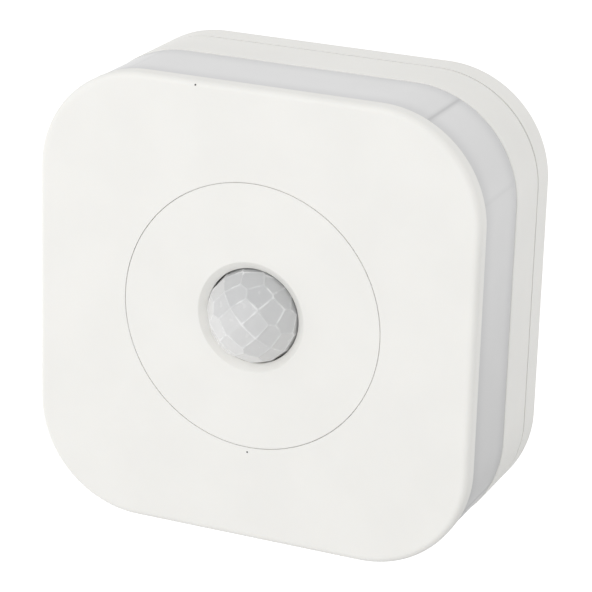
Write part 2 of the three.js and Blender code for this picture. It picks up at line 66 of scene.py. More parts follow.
FULL_WHITE: Colour = (1.0, 1.0, 1.0)
FULL_BLACK: Colour = (0.0, 0.0, 0.0)


class Body(Enum):
    """The moving bodies of the frame."""

    PLATE = "wall_plate"
    UNIT = "sensor_unit"
    BUTTON = "pairing_button"


class Slot(Enum):
    """The record's material slots."""

    WHITE = "case_white"
    DIFFUSER = "diffuser"
    LENS = "lens"
    BOARD = "circuit_board"
    STEEL = "steel"
    NICKEL = "nickel"
    BLACK = "black_plastic"
    LAMP = "led_case"
    SLEEVE = "cell_sleeve"


class Kind(Enum):
    """How a loop of the case runs: along the rounded square, or along a circle."""

    SQUARE = "square"
    ROUND = "round"


# ---------------------------------------------------------------- shader graphs


class Value:
    """A number socket that takes part in Python arithmetic."""

    def __init__(self, graph: "Graph", socket: bpy.types.NodeSocket) -> None:
        """Wraps a socket.

        Args:
            graph: the graph that the socket belongs to.
            socket: the output socket.
        """
        self.graph = graph
        self.socket = socket

    def _math(self, operation: str, *values: Any) -> "Value":
        """Adds a Math node.

        Args:
            operation: the node's operation.
            values: its operands, in order.

        Returns:
            The node's result.
        """
        return self.graph.value("ShaderNodeMath", {"operation": operation}, dict(enumerate(values)))

    def __add__(self, other: Any) -> "Value":
        """Sum."""
        return self._math("ADD", self, other)

    def __radd__(self, other: Any) -> "Value":
        """Reflected sum."""
        return self._math("ADD", other, self)

    def __sub__(self, other: Any) -> "Value":
        """Difference."""
        return self._math("SUBTRACT", self, other)

    def __rsub__(self, other: Any) -> "Value":
        """Reflected difference."""
        return self._math("SUBTRACT", other, self)

    def __mul__(self, other: Any) -> "Value":
        """Product."""
        return self._math("MULTIPLY", self, other)

    def __rmul__(self, other: Any) -> "Value":
        """Reflected product."""
        return self._math("MULTIPLY", other, self)

    def __truediv__(self, other: Any) -> "Value":
        """Quotient."""
        return self._math("DIVIDE", self, other)

    def rise(self, low: float, high: float) -> "Value":
        """A smooth step.

        Args:
            low: where the step starts, as 0.
            high: where it ends, as 1.

        Returns:
            The step's value.
        """
        inputs = {"Value": self, "From Min": low, "From Max": high}
        return self.graph.value("ShaderNodeMapRange", {"interpolation_type": "SMOOTHSTEP"}, inputs)


class Graph:
    """A material's node tree with one Principled shader."""

    def __init__(self, name: str) -> None:
        """Makes the material.

        Args:
            name: the material's name.
        """
        self.material = bpy.data.materials.new(name)
        self.material.use_nodes = True
        self.tree = self.material.node_tree
        self.tree.nodes.clear()
        self.shader = self.node("ShaderNodeBsdfPrincipled")
        self.node("ShaderNodeOutputMaterial", inputs={"Surface": self.shader.outputs["BSDF"]})

    def node(self, kind: str, settings: dict | None = None, inputs: dict | None = None) -> bpy.types.Node:
        """Adds a node.

        Args:
            kind: the node's type.
            settings: its properties, set first.
            inputs: values or links by socket identifier, name or number.

        Returns:
            The node.
        """
        made = self.tree.nodes.new(kind)
        for key, value in (settings or {}).items():
            setattr(made, key, value)
        for key, value in (inputs or {}).items():
            self.feed(made, key, value)
        return made

    def feed(self, node: bpy.types.Node, key: Any, value: Any) -> None:
        """Sets or links one input of a node.

        Args:
            node: the node.
            key: the socket's identifier, name or number.
            value: a number, a colour, a vector, a Value or an output socket.
        """
        by_identifier = {s.identifier: s for s in node.inputs}
        socket = node.inputs[key] if isinstance(key, int) else by_identifier.get(key) or node.inputs[key]
        if isinstance(value, Value):
            value = value.socket
        if isinstance(value, bpy.types.NodeSocket):
            self.tree.links.new(value, socket)
        elif isinstance(value, (tuple, list)) and len(value) == 3 and len(socket.default_value) == 4:
            socket.default_value = (*value, 1.0)
        else:
            socket.default_value = value

    def value(
        self, kind: str, settings: dict | None = None, inputs: dict | None = None, output: Any = 0
    ) -> Value:
        """Adds a node as node() does and wraps one of its outputs.

        Args:
            kind: the node's type.
            settings: its properties.
            inputs: values or links of its sockets.
            output: name or number of the output.

        Returns:
            The wrapped output.
        """
        return Value(self, self.node(kind, settings, inputs).outputs[output])

    def place(self) -> bpy.types.NodeSocket:
        """The point on the object, in metres."""
        return self.node("ShaderNodeTexCoord").outputs["Object"]

    def axes(self) -> tuple[Value, Value, Value]:
        """The three coordinates of the point on the object."""
        split = self.node("ShaderNodeSeparateXYZ", inputs={"Vector": self.place()})
        return tuple(Value(self, split.outputs[axis]) for axis in "XYZ")

    def noise(self, size: float, detail: float = 2.0, stretch: Point = (1.0, 1.0, 1.0)) -> Value:
        """Noise on the object's own coordinates.

        Args:
            size: the width of a grain in metres.
            detail: octaves.
            stretch: how much finer the grain is along each axis.

        Returns:
            The noise, about 0.5.
        """
        mapping = self.node("ShaderNodeMapping", inputs={"Vector": self.place(), "Scale": stretch})
        inputs = {"Vector": mapping.outputs[0], "Scale": 1.0 / size, "Detail": detail}
        return self.value("ShaderNodeTexNoise", {"noise_dimensions": "3D"}, inputs)

    def attribute(self, name: str) -> Value:
        """A number stored on the mesh."""
        return self.value("ShaderNodeAttribute", {"attribute_name": name}, output="Fac")

    def mix(self, factor: Any, first: Any, second: Any) -> bpy.types.NodeSocket:
        """Mixes two colours.

        Args:
            factor: 0 for the first, 1 for the second.
            first: a colour or a socket.
            second: a colour or a socket.

        Returns:
            The mixed colour.
        """
        inputs = {"Factor_Float": factor, "A_Color": first, "B_Color": second}
        made = self.node("ShaderNodeMix", {"data_type": "RGBA"}, inputs)
        return next(s for s in made.outputs if s.identifier == "Result_Color")

    def bump(self, height: Value, distance: float, strength: float = 1.0) -> bpy.types.NodeSocket:
        """A Bump node.

        Args:
            height: relief from 0 to 1.
            distance: its depth in metres.
            strength: its weight.

        Returns:
            The bent normal.
        """
        inputs = {"Height": height, "Distance": distance, "Strength": strength}
        return self.node("ShaderNodeBump", inputs=inputs).outputs["Normal"]

    def set(self, **sockets: Any) -> None:
        """Feeds the Principled shader; an underscore in a key stands for a space."""
        for key, value in sockets.items():
            self.feed(self.shader, key.replace("_", " "), value)


# ---------------------------------------------------------------- finishes


def shade(colour: Colour, factor: float) -> Colour:
    """A colour made lighter or darker by a factor."""
    return tuple(min(1.0, c * factor) for c in colour)


@dataclass(frozen=True)
class MouldedPlastic:
    """Matt injection-moulded plastic with a fine even grain and very faint flow marks.

    Attributes:
        name: the material's name.
        colour: base colour, linear.
        roughness: mean roughness.
        grain: width of a grain in metres.
        relief: depth of the grain in metres.
        mottle: how far the colour drifts.
    """

    name: str
    colour: Colour
    roughness: float = 0.46
    grain: float = 0.22 * MM
    relief: float = 0.004 * MM
    mottle: float = 0.012

    def make(self) -> bpy.types.Material:
        """Builds the material.

        Returns:
            The material.
        """
        graph = Graph(self.name)
        flow = graph.noise(14 * MM, 3.0).rise(0.3, 0.7)
        grain = graph.noise(self.grain, 2.0)
        light, dark = shade(self.colour, 1 + self.mottle), shade(self.colour, 1 - self.mottle)
        graph.set(
            Base_Color=graph.mix(flow, dark, light),
            Roughness=self.roughness + 0.06 * (grain - 0.5) + 0.03 * (flow - 0.5),
            IOR=1.52,
            Subsurface_Weight=0.06,
            Subsurface_Radius=(1.0, 0.9, 0.75),
            Subsurface_Scale=0.6 * MM,
            Normal=graph.bump(grain, self.relief, 0.6),
        )
        return graph.material


@dataclass(frozen=True)
class MilkyDiffuser:
    """Milky plastic with painted light and shade: the faint shadows of the ribs that stand behind it,
    lighter corner bays between the ribs, shade near its edges and shade towards the lower right.

    Attributes:
        name: the material's name.
        colour: base colour.
        shadow: the colour in front of a rib.
        edge: the colour near the band's front and back edges, painted shade where the band meets the cover
            and the housing.
        middle_y: depth of the band's middle.
        half_depth: half the band's depth.
        fade: where the painted shade starts and where it is darkest, along x - z, so that the band darkens
            towards the lower right.
        shaded_down: how dark the painted shade gets, as a factor.
    """

    name: str = "milky_diffuser"
    colour: Colour = (0.745, 0.745, 0.745)
    shadow: Colour = (0.50, 0.50, 0.505)
    edge: Colour = (0.64, 0.64, 0.645)
    middle_y: float = -26.7 * MM
    half_depth: float = 8.1 * MM
    fade: tuple[float, float] = (-30 * MM, 85 * MM)
    shaded_down: float = 0.83

    def make(self) -> bpy.types.Material:
        """Builds the material.

        Returns:
            The material.
        """
        graph = Graph(self.name)
        x, y, z = graph.axes()
        cloud = graph.noise(9 * MM, 2.0)
        offset = (y - self.middle_y) / self.half_depth
        border = (offset * offset).rise(0.12, 1.0)
        bay = graph.attribute("bay")
        rib = graph.attribute("rib")
        # painted light: the corner bays between the ribs are made lighter; the cloud is the plastic's own
        # random tone
        cloud_and_bay_light = 0.35 + 0.5 * (cloud - 0.5) - 0.35 * bay
        cloud_and_lit_bays = graph.mix(cloud_and_bay_light, shade(self.colour, 1.03), shade(self.colour, 0.97))
        # painted shade: darker towards the band's front and back edges, where it meets the cover and the
        # housing
        edge_shaded = graph.mix(0.8 * border, cloud_and_lit_bays, self.edge)
        ribbed = graph.mix(rib, edge_shaded, self.shadow)
        # painted shade: the band's colour falls towards the lower right, along x - z
        low = (x - z).rise(*self.fade)
        low_right_shade = graph.mix(low, FULL_WHITE, shade(FULL_WHITE, self.shaded_down))
        shaded_down = graph.node("ShaderNodeVectorMath", {"operation": "MULTIPLY"}, {0: low_right_shade, 1: ribbed})
        graph.set(
            Base_Color=shaded_down.outputs[0],
            Roughness=0.34 + 0.06 * cloud,
            IOR=1.49,
            Subsurface_Weight=0.12,
            Subsurface_Radius=(1.0, 1.0, 1.0),
            Subsurface_Scale=1.2 * MM,
            Normal=graph.bump(graph.noise(0.5 * MM), 0.003 * MM, 0.5),
        )
        return graph.material


@dataclass(frozen=True)
class LensPlastic:
    """Thin translucent polyethylene: grey in the flat facets, with painted shade across the facets and
    painted highlights along the raised ridges.

    Attributes:
        name: the material's name.
        facet: colour of the darkest facets, at the shaded end of the painted shade.
        pale: colour of the palest facets, at the lit end of the painted shade.
        ridge: colour of the painted highlight along the ridges.
    """

    name: str = "lens_plastic"
    facet: Colour = (0.575, 0.58, 0.585)
    pale: Colour = (0.80, 0.795, 0.785)
    ridge: Colour = (0.88, 0.885, 0.885)

    def make(self) -> bpy.types.Material:
        """Builds the material.

        Returns:
            The material.
        """
        graph = Graph(self.name)
        ridge = graph.attribute("ridge")
        tone = graph.attribute("tone")
        cloud = graph.noise(2.2 * MM, 2.0)
        # painted shade: the facets run from the darker colour in the upper right to the paler one in the
        # lower left, with random cloud
        base = graph.mix(tone + 0.2 * (cloud - 0.5), self.facet, self.pale)
        graph.set(
            # painted highlight: the ridges are lightened in noisy patches, as glints
            Base_Color=graph.mix((0.08 + 0.6 * cloud.rise(0.42, 0.62)) * ridge, base, self.ridge),
            Roughness=0.22 + 0.08 * cloud,
            IOR=1.51,
            Subsurface_Weight=0.5,
            Subsurface_Radius=(1.0, 1.0, 1.0),
            Subsurface_Scale=1.0 * MM,
            Normal=graph.bump(graph.noise(0.18 * MM), 0.004 * MM, 0.5),
        )
        return graph.material


@dataclass(frozen=True)
class SolderMask:
    """A circuit board: green mask over copper traces, with tinned pads.

    Attributes:
        name: the material's name.
        mask: colour of the mask.
        trace: colour of the mask over copper.
        pad: colour of a tinned pad.
    """

    name: str = "solder_mask"
    mask: Colour = (0.012, 0.085, 0.03)
    trace: Colour = (0.03, 0.17, 0.06)
    pad: Colour = (0.62, 0.60, 0.55)

    def make(self) -> bpy.types.Material:
        """Builds the material.

        Returns:
            The material.
        """
        graph = Graph(self.name)
        bricks = {"Vector": graph.place(), "Scale": 190.0, "Mortar Size": 0.035, "Brick Width": 0.9}
        lines = 1 - graph.value("ShaderNodeTexBrick", {"offset": 0.37}, bricks, "Fac")
        cells = {"Vector": graph.place(), "Scale": 330.0, "Randomness": 0.35}
        pads = 1 - graph.value("ShaderNodeTexVoronoi", {"feature": "F1"}, cells, "Distance").rise(0.16, 0.2)
        copper = graph.mix(1 - lines, self.mask, self.trace)
        graph.set(
            Base_Color=graph.mix(pads, copper, self.pad),
            Metallic=0.8 * pads,
            Roughness=0.38 - 0.1 * pads,
            IOR=1.5,
            Normal=graph.bump(pads + 0.5 * (1 - lines), 0.03 * MM, 0.6),
        )
        return graph.material


@dataclass(frozen=True)
class PlatedMetal:
    """Plated metal with a fine drawn grain.

    Attributes:
        name: the material's name.
        colour: metal colour.
        roughness: mean roughness.
        stretch: grain direction; large values are across the grain.
    """

    name: str
    colour: Colour
    roughness: float = 0.28
    stretch: Point = (1.0, 6.0, 1.0)

    def make(self) -> bpy.types.Material:
        """Builds the material.

        Returns:
            The material.
        """
        graph = Graph(self.name)
        grain = graph.noise(0.5 * MM, 3.0, self.stretch)
        tarnish = graph.noise(3 * MM, 2.0).rise(0.35, 0.75)
        graph.set(
            Base_Color=graph.mix(tarnish, self.colour, shade(self.colour, 0.88)),
            Metallic=1.0,
            Roughness=self.roughness + 0.12 * (grain - 0.5) + 0.06 * tarnish,
            Normal=graph.bump(grain, 0.006 * MM, 0.5),
        )
        return graph.material


@dataclass(frozen=True)
class CellSleeve:
    """A battery's printed shrink sleeve: a dark body with a pale band at the positive end and no lettering.

    Attributes:
        name: the material's name.
        body: colour of the sleeve.
        band: colour of the end band.
        band_from: where the band starts, as a share of the sleeve's length.
    """

    name: str = "cell_sleeve"
    body: Colour = (0.035, 0.05, 0.075)
    band: Colour = (0.55, 0.42, 0.2)
    band_from: float = 0.74

    def make(self) -> bpy.types.Material:
        """Builds the material.

        Returns:
            The material.
        """
        graph = Graph(self.name)
        along = graph.attribute("along")
        smudge = graph.noise(4 * MM, 2.0)
        band = along.rise(self.band_from, self.band_from + 0.01)
        graph.set(
            Base_Color=graph.mix(band, self.body, self.band),
            Metallic=0.35 * band,
            Roughness=0.26 + 0.14 * smudge,
            IOR=1.5,
            Coat_Weight=0.25 + 0.1 * smudge,
            Normal=graph.bump(smudge, 0.02 * MM, 0.3),
        )
        return graph.material


@dataclass(frozen=True)
class LampCase:
    """A lamp's pale case with a yellow phosphor window.

    Attributes:
        name: the material's name.
        case: colour of the case.
        phosphor: colour of the phosphor.
        window_y: depth at which the case gives way to the window.
    """

    name: str = "lamp_case"
    case: Colour = (0.8, 0.8, 0.76)
    phosphor: Colour = (0.75, 0.6, 0.12)
    window_y: float = -21.75 * MM

    def make(self) -> bpy.types.Material:
        """Builds the material.

        Returns:
            The material.
        """
        graph = Graph(self.name)
        _, y, _ = graph.axes()
        window = 1 - y.rise(self.window_y, self.window_y + 0.1 * MM)
        cloud = graph.noise(0.6 * MM)
        graph.set(
            Base_Color=graph.mix(window, self.case, self.phosphor),
            Roughness=0.3 + 0.2 * cloud,
            IOR=1.5,
            Normal=graph.bump(cloud, 0.01 * MM, 0.4),
        )
        return graph.material


class Wardrobe:
    """Makes each finish once and hands out its material."""

    def __init__(self) -> None:
        """Makes all the finishes."""
        finishes = {
            Slot.WHITE: MouldedPlastic("moulded_white", (0.845, 0.838, 0.808)),
            Slot.DIFFUSER: MilkyDiffuser(),
            Slot.LENS: LensPlastic(),
            Slot.BOARD: SolderMask(),
            Slot.STEEL: PlatedMetal("zinc_plate", (0.62, 0.62, 0.61), 0.34),
            Slot.NICKEL: PlatedMetal("nickel_plate", (0.66, 0.64, 0.58), 0.22),
            Slot.BLACK: MouldedPlastic("moulded_black", (0.018, 0.018, 0.02), 0.4, mottle=0.2),
            Slot.LAMP: LampCase(),
            Slot.SLEEVE: CellSleeve(),
        }
        self.materials = {slot: finish.make() for slot, finish in finishes.items()}

    def dress(self, piece: bpy.types.Object, *slots: Slot) -> bpy.types.Object:
        """Gives a new piece its materials, in the order of its material slots.

        Args:
            piece: the piece.
            slots: the slots of its material indices, the main one first.

        Returns:
            The piece.
        """
        piece.data.materials.clear()
        for slot in slots:
            piece.data.materials.append(self.materials[slot])
        return piece

    def redress(self, nodes: Iterable[str]) -> None:
        """Gives CAD nodes that stay in view the finish of their own slot.

        Args:
            nodes: names of the nodes.
        """
        slot_of = {row["node"]: row["material_slot"] for row in frame["record"]["subparts"]}
        for name in nodes:
            material = self.materials[Slot(slot_of[name])]
            node = frame["nodes"][name]
            for material_slot in node.material_slots:
                material_slot.material = material


# ---------------------------------------------------------------- meshes


@dataclass(frozen=True)
class Corner:
    """A corner of a profile.

    Attributes:
        size: half width or radius at the corner.
        y: depth.
        radius: fillet radius, or 0 for a sharp corner.
        kind: how the loop through the corner runs.
    """

    size: float
    y: float
    radius: float = 0.0
    kind: Kind = Kind.SQUARE


@dataclass(frozen=True)
class CaseOutline:
    """The case's outline: a rounded square, with the circle that has the same directions from the centre.

    Attributes:
        half: half width of the case.
        corner: plan radius of its corners.
        arc_steps: steps in a corner.
        side_steps: steps along a side.
        lens_z: height of the circles' middle.
    """

    half: float = 45 * MM
    corner: float = 21.3 * MM
    arc_steps: int = 32
    side_steps: int = 16
    lens_z: float = LENS_Z

    def loop(self, size: float, kind: Kind) -> np.ndarray:
        """One loop of the outline; the circles are centred on the lens.

        Args:
            size: half width, or radius.
            kind: square or round.

        Returns:
            An array of x and z, counterclockwise.
        """
        if kind is Kind.ROUND:
            base = self.loop(self.half, Kind.SQUARE)
            return size * base / np.linalg.norm(base, axis=1, keepdims=True) + (0.0, self.lens_z)
        centre = self.half - self.corner
        turn = np.linspace(0, QUARTER, self.arc_steps + 1)
        arc = centre + (size - centre) * np.stack([np.cos(turn), np.sin(turn)], 1)
        along = np.linspace(-centre, centre, self.side_steps + 1)[1:-1]
        side = np.stack([np.full_like(along, size), along], 1)
        quarter = np.concatenate([side, arc])
        spin = np.array([[0, 1], [-1, 0]])
        quarters = [quarter @ np.linalg.matrix_power(spin, k) for k in range(4)]
        return np.concatenate(quarters)


@dataclass(frozen=True)
class CircleOutline:
    """A circle in even steps.

    Attributes:
        steps: number of steps.
        z: height of its middle.
    """

    steps: int = 160
    z: float = 0.0

    def loop(self, size: float, kind: Kind = Kind.ROUND) -> np.ndarray:
        """One loop of the given radius; the kind makes no difference."""
        turn = np.linspace(0, 2 * math.pi, self.steps, endpoint=False)
        return size * np.stack([np.cos(turn), np.sin(turn)], 1) + (0.0, self.z)


def rounded(corners: Sequence[Corner], closed: bool = True, steps: int = 5) -> list[Corner]:
    """Rounds the corners of a profile and adds a holding loop beside each fillet.

    Args:
        corners: the profile's corners, in order.
        closed: whether the last one joins the first.
        steps: steps in a fillet.

    Returns:
        The stations of the profile.
    """
    made: list[Corner] = []
    count = len(corners)
    for i, corner in enumerate(corners):
        ends = not closed and i in (0, count - 1)
        if ends or corner.radius == 0:
            made.append(corner)
            continue
        here = np.array([corner.size, corner.y])
        towards = []
        for other in (corners[i - 1], corners[(i + 1) % count]):
            leg = np.array([other.size, other.y]) - here
            towards.append(leg / np.linalg.norm(leg))
        opening = math.acos(float(np.clip(towards[0] @ towards[1], -1, 1)))
        reach = corner.radius / math.tan(opening / 2)
        middle = towards[0] + towards[1]
        centre = here + middle / np.linalg.norm(middle) * corner.radius / math.sin(opening / 2)
        start, end = (here + reach * leg - centre for leg in towards)
        sweep = math.pi - opening
        hold = 0.3 * corner.radius
        points = [here + (reach + hold) * towards[0]]
        for step in range(steps + 1):
            t = step / steps
            blend = (math.sin((1 - t) * sweep) * start + math.sin(t * sweep) * end) / math.sin(sweep)
            points.append(centre + blend)
        points.append(here + (reach + hold) * towards[1])
        made += [Corner(float(s), float(y), 0.0, corner.kind) for s, y in points]
    return made


def finish_mesh(name: str, mesh: bpy.types.Mesh, sharp: float = 35.0) -> bpy.types.Object:
    """Smooths a mesh except at its sharp edges, turns its faces out and puts it in the scene.

    Args:
        name: the piece's name.
        mesh: the mesh.
        sharp: the angle in degrees past which an edge stays sharp.

    Returns:
        The piece.
    """
    work = bmesh.new()
    work.from_mesh(mesh)
    bmesh.ops.remove_doubles(work, verts=work.verts, dist=1e-7)
    bmesh.ops.recalc_face_normals(work, faces=work.faces)
    for face in work.faces:
        face.smooth = True
    for edge in work.edges:
        edge.smooth = not edge.is_manifold or edge.calc_face_angle(0.0) < math.radians(sharp)
    work.to_mesh(mesh)
    work.free()
    mesh.name = name
    piece = bpy.data.objects.new(name, mesh)
    bpy.context.scene.collection.objects.link(piece)
    return piece


def strip(first: int, second: int, count: int) -> list[tuple[int, ...]]:
    """The faces between two loops of points.

    Args:
        first: number of the first loop's first point.
        second: the same for the second loop.
        count: points in a loop.

    Returns:
        The faces.
    """
    pairs = [(k, (k + 1) % count) for k in range(count)]
    return [(first + k, first + n, second + n, second + k) for k, n in pairs]


def lofted(
    name: str, outline: CaseOutline | CircleOutline, stations: Sequence[Corner], closed: bool = True
) -> bpy.types.Object:
    """A body that joins a loop at each station.

    Args:
        name: the piece's name.
        outline: gives the loop at a size.
        stations: the profile.
        closed: whether the last station joins the first, as in a ring; else both ends are capped.

    Returns:
        The piece.
    """
    loops = [outline.loop(s.size, s.kind) for s in stations]
    count = len(loops[0])
    verts = [(x, s.y, z) for s, loop in zip(stations, loops) for x, z in loop]
    faces: list[tuple[int, ...]] = []
    rings = len(stations)
    for i in range(rings if closed else rings - 1):
        faces += strip(i * count, ((i + 1) % rings) * count, count)
    if not closed:
        faces.append(tuple(range(count)))
        faces.append(tuple(range((rings - 1) * count, rings * count)))
    mesh = bpy.data.meshes.new(name)
    mesh.from_pydata(verts, [], faces)
    return finish_mesh(name, mesh)


def block(centre: Point, size: Point, edge: float = 0.0) -> bpy.types.Mesh:
    """A box with rounded edges.

    Args:
        centre: its middle.
        size: its three sides.
        edge: the radius of its edges.

    Returns:
        The mesh.
    """
    work = bmesh.new()
    place = Matrix.Translation(centre) @ Matrix.Diagonal((*size, 1.0))
    bmesh.ops.create_cube(work, size=1.0, matrix=place)
    if edge > 0:
        bmesh.ops.bevel(work, geom=work.edges[:], offset=edge, segments=3, profile=0.5, affect="EDGES")
    mesh = bpy.data.meshes.new("block")
    work.to_mesh(mesh)
    work.free()
    return mesh


def turned(
    profile: Sequence[tuple[float, float]], x: float = 0.0, z: float = 0.0, steps: int = 48
) -> bpy.types.Mesh:
    """A solid of revolution along Y.

    Args:
        profile: radius and y of each point; both ends lie off the axis and are capped.
        x: the axis's place.
        z: the axis's place.
        steps: steps round the axis.

    Returns:
        The mesh.
    """
    circle = CircleOutline(steps)
    verts = [(x + px, y, z + pz) for radius, y in profile for px, pz in circle.loop(radius)]
    faces: list[tuple[int, ...]] = []
    for i in range(len(profile) - 1):
        faces += strip(i * steps, (i + 1) * steps, steps)
    faces.append(tuple(range(steps)))
    faces.append(tuple(range((len(profile) - 1) * steps, len(profile) * steps)))
    mesh = bpy.data.meshes.new("turned")
    mesh.from_pydata(verts, [], faces)
    return mesh


def merged(name: str, meshes: Iterable[bpy.types.Mesh], sharp: float = 35.0) -> bpy.types.Object:
    """Puts several closed meshes into one piece.

    Args:
        name: the piece's name.
        meshes: the meshes, which are used up.
        sharp: the angle past which an edge stays sharp.

    Returns:
        The piece.
    """
    work = bmesh.new()
    for mesh in meshes:
        work.from_mesh(mesh)
        bpy.data.meshes.remove(mesh)
    whole = bpy.data.meshes.new(name)
    work.to_mesh(whole)
    work.free()
    return finish_mesh(name, whole, sharp)


def taken(piece: bpy.types.Object) -> bpy.types.Mesh:
    """A copy of the piece's mesh, with the piece itself removed.

    Args:
        piece: the piece.

    Returns:
        The mesh.
    """
    mesh = piece.data.copy()
    bpy.data.objects.remove(piece)
    return mesh


def spun(mesh: bpy.types.Mesh, quarters: int) -> bpy.types.Mesh:
    """Turns a mesh about Y by a number of quarter turns."""
    mesh.transform(Matrix.Rotation(quarters * QUARTER, 4, "Y"))
    return mesh


def store(mesh: bpy.types.Mesh, name: str, values: Sequence[float] | np.ndarray) -> None:
    """Stores a number for each point of a mesh."""
    mesh.attributes.new(name, "FLOAT", "POINT").data.foreach_set("value", values)


def evaluated(piece: bpy.types.Object) -> bpy.types.Object:
    """Turns a piece's modifiers into plain mesh.

    Args:
        piece: the piece.

    Returns:
        The same piece with its modifiers gone.
    """
    graph = bpy.context.evaluated_depsgraph_get()
    mesh = bpy.data.meshes.new_from_object(piece.evaluated_get(graph), depsgraph=graph)
    old = piece.data
    piece.modifiers.clear()
    piece.data = mesh
    mesh.name = piece.name
    bpy.data.meshes.remove(old)
    return piece


def carved(
    base: bpy.types.Object,
    added: Sequence[bpy.types.Mesh],
    cut: Sequence[bpy.types.Mesh],
    edge: float = 0.0,
) -> bpy.types.Object:
    """Joins and cuts meshes on a base with exact booleans, then breaks the sharp edges.

    Args:
        base: the piece to work on.
        added: meshes to join on.
        cut: meshes to cut out.
        edge: width of the broken edges, or 0 for none.

    Returns:
        The base.
    """
    for operation, meshes in (("UNION", added), ("DIFFERENCE", cut)):
        tools = []
        for i, mesh in enumerate(meshes):
            tool = merged(f"tool_{operation.lower()}_{i}", [mesh])
            modifier = base.modifiers.new(tool.name, "BOOLEAN")
            modifier.operation = operation
            modifier.solver = "EXACT"
            modifier.object = tool
            tools.append(tool)
        evaluated(base)
        for tool in tools:
            bpy.data.objects.remove(tool)
    if edge > 0:
        bevel = base.modifiers.new("broken_edges", "BEVEL")
        bevel.width = edge
        bevel.segments = 2
        bevel.limit_method = "ANGLE"
        bevel.angle_limit = math.radians(50)
        bevel.use_clamp_overlap = True
        evaluated(base)
    name = base.name
    return finish_mesh(name, taken(base))


def settle(piece: bpy.types.Object, body: Body, *nodes: str) -> bpy.types.Object:
    """Makes a piece ride on its body and stand for its CAD nodes.

    Args:
        piece: the piece.
        body: the body that it moves with.
        nodes: the CAD nodes that it stands for.

    Returns:
        The piece.
    """
    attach(piece, body.value)
    if nodes:
        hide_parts(*nodes)
    LOG.info("%s: %d faces on %s", piece.name, len(piece.data.polygons), body.value)
    return piece


# ---------------------------------------------------------------- geometry nodes


class Along(Enum):
    """What a repeat follows."""

    LINE = "line"
    RING = "ring"


class Item(Enum):
    """What a repeat repeats."""

    BOX = "box"
    ROD = "rod"


